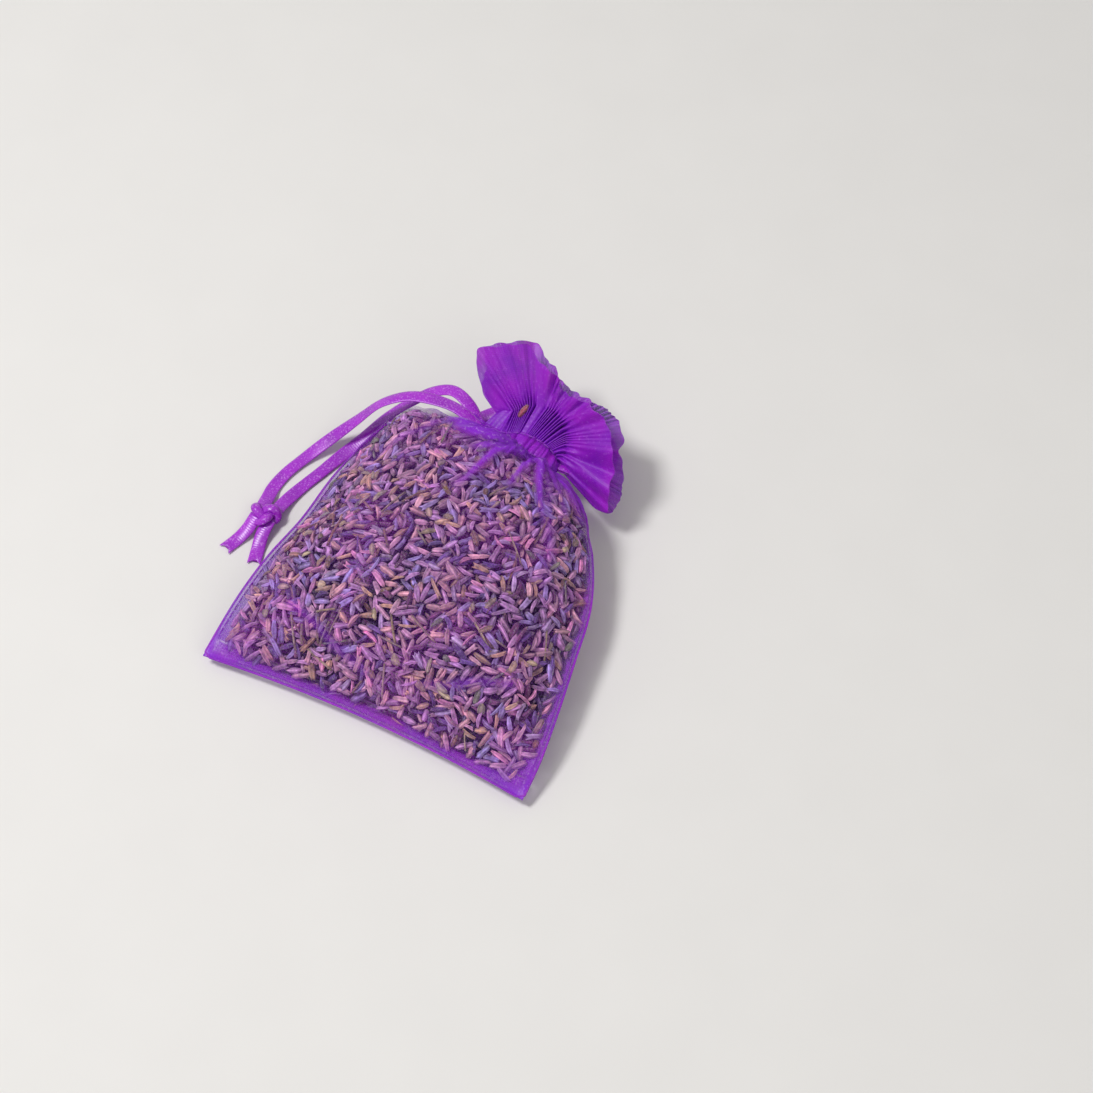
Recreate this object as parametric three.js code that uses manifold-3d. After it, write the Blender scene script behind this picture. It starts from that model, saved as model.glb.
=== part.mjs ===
import * as THREE from 'three';
import Module from 'manifold-3d';

const wasm = await Module();
wasm.setup();

// Lavender sachet, a drawstring bag lying on its back. Millimetres.
// X runs across the bag, Y from the bottom seam to the mouth, Z up out of the front face.
// The origin is on the floor under the middle of the flat patch that the bag rests on.

// Clearance between pieces that touch on the real bag
const GAP = 0.3;

// Filled body of the bag
const BAG_WIDTH = 98;
const BODY_LENGTH = 88;
const BOTTOM_Y = -52;
const BOTTOM_DIP = 3;
const BOTTOM_BLEND = 30;
const CROWN_RISE = 21.6;
const TOP_TILT = 5;
const SEAM_LOW = 3.5;
const SEAM_HIGH = 12.2;
const CLOTH = 0.6;
const SEAM_GAP = 0.2;
const FLAT_PRESS = 1.6;
const PLEAT_DEPTH = 0.7;
const PLEATS = 5;
const PUFF_RISE = 2.2;
const PUFF_FADE = 9;

// Satin ribbon and its knots
const RIBBON_WIDTH = 3.8;
const RIBBON_THICK = 0.4;
const RIBBON_SPLIT = 0.4;
const RUN_WIDTH = 2;
const STRAND_SPLIT = 0.6;
const THROAT_SPARE = 1;
const THROAT_LEAD = 2.6;
const KNOT_LUMP = 0.14;
const KNOT_SIZE = [4.8, 3.6, 2.6];

// Neck and casing, the tunnel that the ribbons run in
const NECK_X = 3;
const NECK_Z = 15;
const NECK_RX = 8.4;
const NECK_RZ = 6.8;
const NECK_BLEND = 31;
const CASING_MARGIN = 0.8;
const CASING_PUFF = 0.4;
const CASING_PLEAT = 0.5;
const CASING_PLEATS = 13;
const RUN_CLEARANCE = 0.9;
const FACING_THICK = 0.5;
const EXIT_CLEARANCE = 0.4;

// Frill above the drawstring
const FRILL_TILT = 40;
const FRILL_SWAY = 11;
const FRILL_SPREAD = 73;
const FRILL_RISE = 3;
const FRILL_BASE = 10.5;
const FRILL_REACH = 30;
const GATHER_CLEARANCE = 1.3;
const RIM_TRIM = 4;
const RIM_NOTCH = 15;
const RIM_END = 6;
const LEAF_CLEARANCE = 0.2;
const FOLD_BASE = 1.4;
const FOLD_RIM = 9;
const BACK_FOLDS = 4;
const BACK_EASE = 4;

// Stitching and seam allowances
const THREAD = 0.36;
const ALLOWANCE_WIDTH = 3.6;
const ALLOWANCE_THICK = 0.4;
const ALLOWANCE_START = 1.6;

// Dried lavender
const BUD_LENGTH = 5;
const BUD_WIDTH = 2;
const BUD_CLEARANCE = 0.7;
const FILL_STOP = 9;
const FILL_LUMP = 2.8;

const RUN_SPACING = RUN_WIDTH + RIBBON_SPLIT;
const CASING_WIDTH = RUN_WIDTH + RUN_SPACING + 2 * CASING_MARGIN;
const CASING_Y = BOTTOM_Y + BODY_LENGTH + GAP;
const AXIS_Y = CASING_Y + CASING_WIDTH;
const LEFT_RUN_Y = CASING_Y + (CASING_WIDTH - RUN_SPACING) / 2;
const RIGHT_RUN_Y = LEFT_RUN_Y + RUN_SPACING;
const RUN_INSET = CASING_PLEAT + CLOTH / 2 + RUN_CLEARANCE + RIBBON_THICK / 2;
const FACING_INSET = RUN_INSET + RIBBON_THICK / 2 + GAP + FACING_THICK / 2;
const STRAND_RISE = (RIBBON_THICK + STRAND_SPLIT) / 2;
const EXIT_HEIGHT = STRAND_RISE + RIBBON_THICK / 2 + EXIT_CLEARANCE;
const FACING_INSIDE = NECK_RZ - FACING_INSET - FACING_THICK / 2;
const EXIT_ANGLE = (Math.asin(EXIT_HEIGHT / FACING_INSIDE) * 180) / Math.PI;
const FRILL_SPLIT = CLOTH / 2 + LEAF_CLEARANCE;
const STITCH_INSET = ALLOWANCE_START - GAP - THREAD / 2;
const ALLOWANCE_INSET = ALLOWANCE_START + ALLOWANCE_WIDTH / 2;
const FILL_INSET = ALLOWANCE_START + ALLOWANCE_WIDTH + 2 * GAP;
const FILL_END = BODY_LENGTH - FILL_STOP;
const BUD_ROOM = BUD_WIDTH + 2 * BUD_CLEARANCE;

const organza = { color: 0x7d12b8, roughness: 0.55, metalness: 0 };
const satin = { color: 0xa52bd0, roughness: 0.3, metalness: 0 };
const thread = { color: 0x6a0fa0, roughness: 0.7, metalness: 0 };
const lavender = { color: 0x6f5a86, roughness: 0.9, metalness: 0 };

const sachet = new THREE.Group();
sachet.name = 'lavender_sachet';

function lerp(a, b, t) {
  return a + (b - a) * t;
}

function ease(t) {
  const c = Math.min(1, Math.max(0, t));
  return c * c * (3 - 2 * c);
}

function radians(degrees) {
  return (degrees * Math.PI) / 180;
}

// A smooth curve through [place, value] pairs
function through(pairs, place) {
  const last = pairs.length - 1;
  let k = 0;
  while (k < last - 1 && place > pairs[k + 1][0]) {
    k += 1;
  }
  const slope = (i) => {
    const a = pairs[Math.max(0, i - 1)];
    const b = pairs[Math.min(last, i + 1)];
    return (b[1] - a[1]) / (b[0] - a[0]);
  };
  const [x0, y0] = pairs[k];
  const [x1, y1] = pairs[k + 1];
  const span = x1 - x0;
  const t = Math.min(1, Math.max(0, (place - x0) / span));
  const t2 = t * t;
  const t3 = t2 * t;
  const start = y0 * (2 * t3 - 3 * t2 + 1) + slope(k) * span * (t3 - 2 * t2 + t);
  const end = y1 * (3 * t2 - 2 * t3) + slope(k + 1) * span * (t3 - t2);
  return start + end;
}

// Closed body from points and triangles, turned to face out
function body(points, triangles) {
  let volume = 0;
  for (let i = 0; i < triangles.length; i += 3) {
    const [a, b, c] = triangles.slice(i, i + 3).map((k) => points[k]);
    volume += a.dot(new THREE.Vector3().crossVectors(b, c));
  }
  const index = [];
  for (let i = 0; i < triangles.length; i += 3) {
    const [a, b, c] = triangles.slice(i, i + 3);
    index.push(a, ...(volume > 0 ? [b, c] : [c, b]));
  }
  const geometry = new THREE.BufferGeometry();
  const flat = points.flatMap((p) => [p.x, p.y, p.z]);
  geometry.setAttribute('position', new THREE.Float32BufferAttribute(flat, 3));
  geometry.setIndex(index);
  return geometry;
}

function piece(name, geometry, look) {
  geometry.computeVertexNormals();
  const mesh = new THREE.Mesh(geometry, new THREE.MeshStandardMaterial(look));
  mesh.name = name;
  sachet.add(mesh);
}

// A skin between an outer and an inner surface, each given by column and row
function skin(cols, rows, outer, inner, wraps) {
  const wide = wraps ? cols : cols + 1;
  const points = [];
  const triangles = [];
  for (const side of [outer, inner]) {
    for (let j = 0; j <= rows; j += 1) {
      for (let i = 0; i < wide; i += 1) {
        points.push(side(i, j));
      }
    }
  }
  const at = (side, i, j) => (side * (rows + 1) + j) * wide + (i % wide);
  const quad = (a, b, c, d) => triangles.push(a, b, c, a, c, d);
  for (let j = 0; j < rows; j += 1) {
    for (let i = 0; i < cols; i += 1) {
      quad(at(0, i, j), at(0, i + 1, j), at(0, i + 1, j + 1), at(0, i, j + 1));
      quad(at(1, i, j), at(1, i, j + 1), at(1, i + 1, j + 1), at(1, i + 1, j));
    }
  }
  for (let i = 0; i < cols; i += 1) {
    quad(at(0, i + 1, 0), at(0, i, 0), at(1, i, 0), at(1, i + 1, 0));
    quad(at(0, i, rows), at(0, i + 1, rows), at(1, i + 1, rows), at(1, i, rows));
  }
  for (let j = 0; j < rows && !wraps; j += 1) {
    quad(at(0, 0, j), at(0, 0, j + 1), at(1, 0, j + 1), at(1, 0, j));
    quad(at(0, cols, j + 1), at(0, cols, j), at(1, cols, j), at(1, cols, j + 1));
  }
  return body(points, triangles);
}

// A section carried along a route; sides give the direction of the section's first axis,
// and widths may stretch it along that axis
function sweep(route, sides, section, closed, widths) {
  const count = route.length;
  const points = [];
  const triangles = [];
  for (let k = 0; k < count; k += 1) {
    const before = route[closed ? (k + count - 1) % count : Math.max(0, k - 1)];
    const after = route[closed ? (k + 1) % count : Math.min(count - 1, k + 1)];
    const along = after.clone().sub(before).normalize();
    const side = sides[k].clone().addScaledVector(along, -sides[k].dot(along)).normalize();
    const up = new THREE.Vector3().crossVectors(along, side);
    for (const [a, b] of section) {
      const wide = widths ? widths[k] : 1;
      points.push(route[k].clone().addScaledVector(side, a * wide).addScaledVector(up, b));
    }
  }
  const n = section.length;
  const steps = closed ? count : count - 1;
  for (let k = 0; k < steps; k += 1) {
    const next = (k + 1) % count;
    for (let i = 0; i < n; i += 1) {
      const j = (i + 1) % n;
      triangles.push(k * n + i, k * n + j, next * n + j);
      triangles.push(k * n + i, next * n + j, next * n + i);
    }
  }
  for (let i = 1; i < n - 1 && !closed; i += 1) {
    const end = (count - 1) * n;
    triangles.push(0, i + 1, i, end, end + i, end + i + 1);
  }
  return body(points, triangles);
}

function roundSection(diameter, sides) {
  return Array.from({ length: sides }, (_, i) => {
    const turn = (i / sides) * 2 * Math.PI;
    return [(diameter / 2) * Math.cos(turn), (diameter / 2) * Math.sin(turn)];
  });
}

function flatSection(width, thick) {
  const w = width / 2;
  const t = thick / 2;
  return [[-w, -t], [w, -t], [w, t], [-w, t]];
}

// Outline and heights of the filled bag, by distance from the bottom seam.
// The shoulders are placed by their distance from the neck.
function shoulder(distance) {
  return BODY_LENGTH - distance;
}

const leftDrawn = [
  [0, 0], [19, 1], [33, 2.5], [46, 5], [shoulder(26), 6.3], [shoulder(13), 9.4], [shoulder(6), 13],
  [shoulder(3.5), 15.5], [shoulder(1.6), 21], [shoulder(0.7), 31],
  [BODY_LENGTH, BAG_WIDTH / 2 + NECK_X - NECK_RX],
];
const rightDrawn = [
  [0, 0], [12, 0.4], [41, 5], [shoulder(30), 8.4], [shoulder(13), 15.2], [shoulder(6), 19.4],
  [shoulder(3.5), 21], [shoulder(1.6), 23.5], [shoulder(0.7), 28],
  [BODY_LENGTH, BAG_WIDTH / 2 - NECK_X - NECK_RX],
];
// The left shoulder stands higher than the right
const topTilt = [
  [0, 0], [40, 0], [shoulder(26), 0.35], [shoulder(13), 0.75], [shoulder(4), 1],
  [shoulder(1.6), 0.76], [shoulder(0.7), 0.22], [BODY_LENGTH, 0],
];
const seamHeight = [
  [0, SEAM_LOW], [8, 6], [20, 9], [40, SEAM_HIGH - 0.9], [shoulder(33), SEAM_HIGH],
  [shoulder(13), 13.2], [BODY_LENGTH, NECK_Z],
];
const crownRise = [
  [0, 0], [4, 5], [10, 10.6], [20, 16.4], [40, CROWN_RISE - 0.4], [shoulder(38), CROWN_RISE],
  [shoulder(23), CROWN_RISE - 1.2], [shoulder(13), 18.4], [shoulder(6), 15.6],
  [shoulder(3), 13], [shoulder(1.2), 10], [BODY_LENGTH, NECK_RZ],
];
const underLift = [
  [0, SEAM_LOW], [4, 0.8], [10, -0.3], [20, 0], [40, 0], [shoulder(33), 0], [shoulder(17), 0.1],
  [shoulder(11), 0.6], [shoulder(6), 1.8], [shoulder(3), 3.6], [shoulder(1.2), 5.8],
  [BODY_LENGTH, NECK_Z - NECK_RZ],
];
const ROWS = [
  0, 2, 5, 9, 14, 21, 30, 40, shoulder(43), shoulder(34), shoulder(26), shoulder(19),
  shoulder(13), shoulder(8.5), shoulder(5.4), shoulder(3), shoulder(1.6), shoulder(0.7),
  BODY_LENGTH,
];
const COLS = 20;

function halfWidth(s) {
  return (BAG_WIDTH - through(leftDrawn, s) - through(rightDrawn, s)) / 2;
}

function midLine(s) {
  return (through(leftDrawn, s) - through(rightDrawn, s)) / 2;
}

function across(i) {
  return Math.sin(((i / COLS) * 2 - 1) * (Math.PI / 2));
}

// Rounded like a cushion over the body and like an ellipse at the neck
function bulge(u, s, power) {
  const cushion = Math.max(0, 1 - Math.abs(u) ** power);
  const ellipse = Math.sqrt(Math.max(0, 1 - u * u));
  return lerp(cushion, ellipse, ease(1 - (BODY_LENGTH - s) / NECK_BLEND));
}

function pleat(u, s) {
  return PLEAT_DEPTH * ease(1 - (BODY_LENGTH - s) / NECK_BLEND) * Math.cos(u * PLEATS * Math.PI);
}

// Height of the front cloth and of the back cloth, inset from the outside
function frontHeight(u, s, inset) {
  const rise = Math.max(0, through(crownRise, s) - inset + pleat(u, s));
  return through(seamHeight, s) + SEAM_GAP + rise * bulge(u, s, 2.4);
}

function backHeight(u, s, inset) {
  const edge = through(seamHeight, s);
  const drop = Math.max(0, edge - through(underLift, s) - inset);
  const press = FLAT_PRESS * ease(s / 14) * ease((BODY_LENGTH - s - 9) / 16);
  return edge - SEAM_GAP - (drop + press) * bulge(u, s, 3.2);
}

// Place of the cloth across and along the bag; the bottom edge is drawn in between its corners
function clothX(u, s, inset) {
  return midLine(s) + u * (halfWidth(s) - inset);
}

function clothY(u, s, inset) {
  const dip = (BOTTOM_DIP * (1 - u * u) + inset) * (1 - ease(s / BOTTOM_BLEND));
  return BOTTOM_Y + s + dip - u * TOP_TILT * through(topTilt, s);
}

// The front cloth stands up in uneven lumps over the loose buds, and lies smooth by the seams
function puff(i, j, u, s) {
  const edge = Math.min((1 - Math.abs(u)) * halfWidth(s), s, BODY_LENGTH - s);
  const lump = 0.5 + 0.5 * Math.sin(2.9 * i + 1.7 * j) * Math.cos(1.9 * i - 2.6 * j);
  return PUFF_RISE * lump * ease(edge / PUFF_FADE);
}

function panel(front) {
  const surface = (inset) => (i, j) => {
    const u = across(i);
    const s = ROWS[j];
    const back = Math.max(backHeight(u, s, inset), inset > 0 ? inset : -FLAT_PRESS);
    const z = front ? frontHeight(u, s, inset) + puff(i, j, u, s) : back;
    return new THREE.Vector3(clothX(u, s, inset), clothY(u, s, inset), z);
  };
  return skin(COLS, ROWS.length - 1, surface(0), surface(CLOTH), false);
}

function solidOf(geometry) {
  const mesh = new wasm.Mesh({
    numProp: 3,
    vertProperties: new Float32Array(geometry.attributes.position.array),
    triVerts: new Uint32Array(geometry.index.array),
  });
  mesh.merge();
  return new wasm.Manifold(mesh);
}

function geometryOf(solid) {
  const mesh = solid.getMesh();
  const points = [];
  for (let i = 0; i < mesh.vertProperties.length; i += mesh.numProp) {
    points.push(new THREE.Vector3(...mesh.vertProperties.subarray(i, i + 3)));
  }
  return body(points, [...mesh.triVerts]);
}

// The back cloth is pressed flat where it rests on the floor
function aboveFloor(geometry) {
  const room = new THREE.BoxGeometry(2 * BAG_WIDTH, 4 * BODY_LENGTH, BAG_WIDTH);
  room.translate(0, 0, BAG_WIDTH / 2);
  return geometryOf(solidOf(geometry).intersect(solidOf(room)));
}

piece('front_panel', panel(true), organza);
piece('back_panel', aboveFloor(panel(false)), organza);

// Seam allowances turned inside, and the stitching along each seam
const seamPlaces = [
  7, 13, 21, 31, 41, shoulder(39), shoulder(30), shoulder(22), shoulder(16), shoulder(12),
];

// Direction of the side seam on one side, and a route beside the seam, inset square to it
function seamAlong(side, s) {
  const x = clothX(side, s + 0.5, 0) - clothX(side, s - 0.5, 0);
  const y = clothY(side, s + 0.5, 0) - clothY(side, s - 0.5, 0);
  return new THREE.Vector3(x, y, 0).normalize();
}

function seamOutward(side, s) {
  const along = seamAlong(side, s);
  return new THREE.Vector3(side * along.y, -side * along.x, 0);
}

function sideRoute(side, inset) {
  return seamPlaces.map((s) => {
    const edge = new THREE.Vector3(clothX(side, s, 0), clothY(side, s, 0), through(seamHeight, s));
    return edge.addScaledVector(seamOutward(side, s), -inset);
  });
}

function bottomRoute(inset) {
  return [-0.8, -0.65, -0.45, -0.22, 0, 0.22, 0.45, 0.65, 0.8].map((u) => {
    const y = clothY(u, 0, 0) + inset;
    return new THREE.Vector3(clothX(u, inset, 0), y, through(seamHeight, inset));
  });
}

const allowance = flatSection(ALLOWANCE_WIDTH, ALLOWANCE_THICK);
const stitch = roundSection(THREAD, 6);
for (const [name, side] of [['left', -1], ['right', 1]]) {
  const outward = seamPlaces.map((s) => seamOutward(side, s));
  const strip = sweep(sideRoute(side, ALLOWANCE_INSET), outward, allowance, false);
  const row = sweep(sideRoute(side, STITCH_INSET), outward, stitch, false);
  piece(`${name}_seam_allowance`, strip, organza);
  piece(`${name}_seam_stitching`, row, thread);
}
const bottomSlope = through(seamHeight, ALLOWANCE_WIDTH) - through(seamHeight, 0);
const inward = bottomRoute(0).map(() => new THREE.Vector3(0, ALLOWANCE_WIDTH, bottomSlope));
const bottomStrip = sweep(bottomRoute(ALLOWANCE_INSET), inward, allowance, false);
piece('bottom_seam_allowance', bottomStrip, organza);
piece('bottom_seam_stitching', sweep(bottomRoute(STITCH_INSET), inward, stitch, false), thread);

// Bulk of the filling, lumpy like heaped buds, with room for loose buds under the front cloth
const FILL_ROWS = 22;
const FILL_COLS = 28;

function fillPoint(i, j, front) {
  const u = Math.sin(((i / FILL_COLS) * 2 - 1) * (Math.PI / 2));
  const s = lerp(FILL_INSET, FILL_END, Math.sin(((j / FILL_ROWS) * Math.PI) / 2));
  const width = halfWidth(s);
  const margin = FILL_INSET / Math.abs(seamAlong(Math.sign(u) || 1, s).y);
  const under = (u * (width - margin)) / (width - CLOTH);
  const edge = through(seamHeight, s);
  const rim = i === 0 || i === FILL_COLS || j === 0 || j === FILL_ROWS;
  const hollow = FILL_LUMP * ((i + j) % 2) * (0.7 + 0.3 * Math.sin(3.1 * i + 2.3 * j));
  const top = Math.max(edge + GAP, frontHeight(under, s, CLOTH) - BUD_ROOM - hollow);
  const base = Math.max(CLOTH + GAP, backHeight(under, s, CLOTH) + GAP * 3) + hollow / 2;
  const low = Math.min(edge - GAP, base);
  const z = rim ? edge : front ? top : low;
  return new THREE.Vector3(clothX(under, s, CLOTH), clothY(under, s, CLOTH), z);
}

function filling() {
  const points = [];
  const triangles = [];
  for (const front of [true, false]) {
    for (let j = 0; j <= FILL_ROWS; j += 1) {
      for (let i = 0; i <= FILL_COLS; i += 1) {
        points.push(fillPoint(i, j, front));
      }
    }
  }
  const wide = FILL_COLS + 1;
  const half = wide * (FILL_ROWS + 1);
  for (let j = 0; j < FILL_ROWS; j += 1) {
    for (let i = 0; i < FILL_COLS; i += 1) {
      const [a, b] = [j * wide + i, j * wide + i + 1];
      const [c, d] = [b + wide, a + wide];
      triangles.push(a, b, c, a, c, d);
      triangles.push(half + a, half + c, half + b, half + a, half + d, half + c);
    }
  }
  return body(points, triangles);
}

piece('lavender_fill', filling(), lavender);

// Buds that lie against the front cloth: place across, place along and turn in degrees
const buds = [
  [-0.42, 22, 35], [-0.2, 21, 110], [0.05, 23, 70], [0.26, 21, 150], [0.46, 23, 20],
  [-0.52, 31, 80], [-0.3, 30, 160], [-0.06, 33, 25], [0.18, 30, 95], [0.4, 33, 50],
  [-0.4, 42, 130], [-0.14, 44, 60], [0.08, 41, 170], [0.32, 44, 15], [0.54, 41, 105],
  [-0.5, 53, 40], [-0.24, 54, 100], [0.02, 53, 145], [0.26, 55, 75], [0.48, 53, 165],
  [-0.36, 64, 65], [-0.08, 64, 20], [0.18, 65, 125], [0.4, 63, 85],
];
const budProfile = [
  [0, -0.5], [0.34, -0.43], [0.5, -0.16], [0.47, 0.12], [0.36, 0.36], [0, 0.5],
].map(([r, l]) => new THREE.Vector2(r * BUD_WIDTH, l * BUD_LENGTH));

function budPlace(u, s) {
  const z = frontHeight(u, s, CLOTH) - BUD_ROOM / 2;
  return new THREE.Vector3(clothX(u, s, CLOTH), clothY(u, s, CLOTH), z);
}

buds.forEach(([u, s, turn], k) => {
  const here = budPlace(u, s);
  const east = budPlace(u + 0.03, s).sub(budPlace(u - 0.03, s)).normalize();
  const north = budPlace(u, s + 1.5).sub(budPlace(u, s - 1.5)).normalize();
  const up = new THREE.Vector3().crossVectors(east, north).normalize();
  const along = east.clone().applyAxisAngle(up, radians(turn));
  const side = new THREE.Vector3().crossVectors(along, up);
  const bud = new THREE.LatheGeometry(budProfile, 6);
  bud.applyMatrix4(new THREE.Matrix4().makeBasis(side, along, up).setPosition(here));
  piece(`lavender_bud_${String(k + 1).padStart(2, '0')}`, bud, lavender);
});

// Casing cloth in front and behind, open at the sides where the ribbons leave
function neckPoint(turn, rx, rz, y) {
  return new THREE.Vector3(NECK_X + rx * Math.cos(turn), y, NECK_Z + rz * Math.sin(turn));
}

function halfRing(front, cols, rows, inset, thick, pleats) {
  const surface = (out) => (i, j) => {
    const swing = radians(lerp(EXIT_ANGLE, 180 - EXIT_ANGLE, i / cols));
    const fold = pleats * (i % 2 === 0 ? -1 : 1);
    const grow = fold + out - inset + CASING_PUFF * Math.sin((j / rows) * Math.PI);
    const y = lerp(CASING_Y, AXIS_Y, j / rows);
    return neckPoint(front ? swing : -swing, NECK_RX + grow, NECK_RZ + grow, y);
  };
  return skin(cols, rows, surface(thick / 2), surface(-thick / 2), false);
}

for (const [name, front] of [['front', true], ['back', false]]) {
  const cols = CASING_PLEATS * 2;
  const cloth = halfRing(front, cols, 3, 0, CLOTH, CASING_PLEAT);
  piece(`${name}_casing`, cloth, organza);
  const hem = halfRing(front, 12, 1, FACING_INSET, FACING_THICK, 0);
  piece(`${name}_facing`, hem, organza);
}

const stitchGrow = CASING_PLEAT + CLOTH / 2 + THREAD / 2 + GAP;
const stitchSet = THREAD / 2 + (CASING_MARGIN - THREAD) / 4;
for (const [name, y] of [['lower', CASING_Y + stitchSet], ['upper', AXIS_Y - stitchSet]]) {
  const turns = Array.from({ length: 28 }, (_, i) => (i / 28) * 2 * Math.PI);
  const ring = turns.map((a) => neckPoint(a, NECK_RX + stitchGrow, NECK_RZ + stitchGrow, y));
  const sides = turns.map(() => new THREE.Vector3(0, 1, 0));
  piece(`${name}_casing_stitching`, sweep(ring, sides, stitch, true), thread);
}

// Ribbon folded up inside the casing: the left one is open at the left, the right at the right
const foldedTape = flatSection(RUN_WIDTH, RIBBON_THICK);

function casingRun(y, openAt) {
  const turns = Array.from({ length: 25 }, (_, i) => {
    return radians(openAt + lerp(EXIT_ANGLE, 360 - EXIT_ANGLE, i / 24));
  });
  const route = turns.map((a) => neckPoint(a, NECK_RX - RUN_INSET, NECK_RZ - RUN_INSET, y));
  return sweep(route, turns.map(() => new THREE.Vector3(0, 1, 0)), foldedTape, false);
}

piece('left_ribbon_run', casingRun(LEFT_RUN_Y, 180), satin);
piece('right_ribbon_run', casingRun(RIGHT_RUN_Y, 0), satin);

// A ribbon through points, each with the angle that it banks by and its width there
const tape = flatSection(1, RIBBON_THICK);

function ribbon(route, steps) {
  const places = route.map(([x, y, z]) => new THREE.Vector3(x, y, z));
  const shapes = route.map(([, , , bank, width]) => new THREE.Vector3(bank, width, 0));
  const path = new THREE.CatmullRomCurve3(places, false, 'centripetal');
  const shape = new THREE.CatmullRomCurve3(shapes, false, 'catmullrom', 0.5);
  const centre = path.getPoints(steps);
  const forms = centre.map((_, k) => shape.getPoint(k / steps));
  const sides = centre.map((_, k) => {
    const along = path.getTangent(k / steps);
    const side = new THREE.Vector3(-along.y, along.x, 0).normalize();
    return side.applyAxisAngle(along, radians(forms[k].x));
  });
  return sweep(centre, sides, tape, false, forms.map((form) => form.y));
}

// Overhand knots that close each loop, with their long side across the strands
function knot([x, y, z], acrossX, grow) {
  const cols = 16;
  const rows = 9;
  const [long, short, c] = KNOT_SIZE.map((size) => size + grow);
  const [a, b] = acrossX ? [long, short] : [short, long];
  const place = (lean, turn) => {
    const round = Math.cos(lean);
    const wrap = 1 + KNOT_LUMP * round * round * Math.cos(3 * turn + 4 * lean);
    const [px, py] = [a * round * Math.cos(turn), b * round * Math.sin(turn)];
    return new THREE.Vector3(x + px * wrap, y + py * wrap, z + c * Math.sin(lean) * wrap);
  };
  const points = [place(-Math.PI / 2, 0)];
  for (let j = 1; j < rows; j += 1) {
    for (let i = 0; i < cols; i += 1) {
      points.push(place((j / rows - 0.5) * Math.PI, (i / cols) * 2 * Math.PI));
    }
  }
  points.push(place(Math.PI / 2, 0));
  const top = points.length - 1;
  const at = (i, j) => 1 + (j - 1) * cols + (i % cols);
  const triangles = [];
  for (let i = 0; i < cols; i += 1) {
    triangles.push(0, at(i + 1, 1), at(i, 1), top, at(i, rows - 1), at(i + 1, rows - 1));
    for (let j = 1; j < rows - 1; j += 1) {
      triangles.push(at(i, j), at(i + 1, j), at(i + 1, j + 1));
      triangles.push(at(i, j), at(i + 1, j + 1), at(i, j + 1));
    }
  }
  return body(points, triangles);
}

// The pull loops: two strands from the casing to a knot, and the knot's two cut tails.
// Places are given by how far they lie inside the bag's side and below the ribbon's run,
// with a height and a bank.
const upper = NECK_Z + STRAND_RISE;
const lower = NECK_Z - STRAND_RISE;

function left(inside, below, z, bank = 0) {
  return [inside - BAG_WIDTH / 2, LEFT_RUN_Y - below, z, bank, RIBBON_WIDTH];
}

function right(inside, below, z, bank = 0) {
  return [BAG_WIDTH / 2 - inside, RIGHT_RUN_Y - below, z, bank, RIBBON_WIDTH];
}

// The straight stretch of a strand in the throat, where the ribbon is folded up
function throat(side, y, z) {
  return [
    [NECK_X - side * THROAT_SPARE, y, z, 0, RUN_WIDTH],
    [NECK_X + side * (NECK_RX + THROAT_LEAD), y, z, 0, RUN_WIDTH],
  ];
}

const pulls = {
  left: {
    knot: left(-8.2, 42.1, 3.2),
    front_strand: [
      ...throat(-1, LEFT_RUN_Y, upper), left(35.5, -2.9, 17.5), left(29, -4.9, 18.8, -6),
      left(21, -4.7, 18.8, -10), left(13.5, -2.9, 18, -14), left(7.5, 0.5, 15.5, -12),
      left(2, 5.1, 10, -8), left(-3.5, 10.6, 4.4, -4), left(-8, 17.6, 1.1),
      left(-10.8, 25.1, 0.5), left(-11.6, 31.6, 0.6), left(-10.9, 36.3, 1.7),
      left(-10.2, 40.9, 3.2),
    ],
    back_strand: [
      ...throat(-1, LEFT_RUN_Y, lower), left(36, -3.9, 15.5), left(30.5, -8.4, 17.5, -4),
      left(24, -10.7, 17.5, -8), left(18, -9.3, 15, -10), left(12.5, -5.5, 11, -8),
      left(7.5, -0.4, 6.6, -6), left(3.5, 6.6, 2.4, -2), left(0.2, 13.6, 0.8),
      left(-2.4, 21.1, 0.5), left(-4.8, 28.6, 0.5), left(-6.1, 35.5, 1.5),
      left(-6.2, 40.9, 3.2),
    ],
    outer_tail: [
      left(-10.2, 43.3, 3.2), left(-10.8, 48.1, 1.7), left(-12, 51.6, 0.6),
      left(-13.6, 56.1, 0.5),
    ],
    inner_tail: [
      left(-6.2, 43.3, 3.2), left(-6, 48.1, 1.7), left(-5.2, 51.6, 0.6), left(-3.8, 56.5, 0.5),
    ],
  },
  right: {
    knot: right(58.6, -19, 3.2),
    front_strand: [
      ...throat(1, RIGHT_RUN_Y, upper), right(30, -3.2, 12), right(27.8, -8.4, 6.2),
      right(27.8, -15.6, 2), right(31.4, -22.2, 0.8), right(38, -26.2, 0.5),
      right(45.4, -27, 0.7), right(51.8, -24.8, 1.7), right(56.9, -21.2, 3.2),
    ],
    back_strand: [
      ...throat(1, RIGHT_RUN_Y, lower), right(31.8, -3.9, 9.4), right(32, -8.8, 4),
      right(33.4, -14.6, 1.4), right(37.4, -19.2, 0.7), right(43, -21.2, 0.7),
      right(48.8, -20.4, 1.7), right(55.4, -17.4, 3.2),
    ],
    outer_tail: [
      right(60.4, -20.2, 3.2), right(64.8, -17.8, 1.7), right(67.8, -15.2, 0.6),
      right(70, -11.2, 0.5),
    ],
    inner_tail: [
      right(58.8, -16.2, 3.2), right(61.4, -12.4, 1.7), right(62.6, -9, 0.6),
      right(62.4, -4.6, 0.5),
    ],
  },
};
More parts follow.
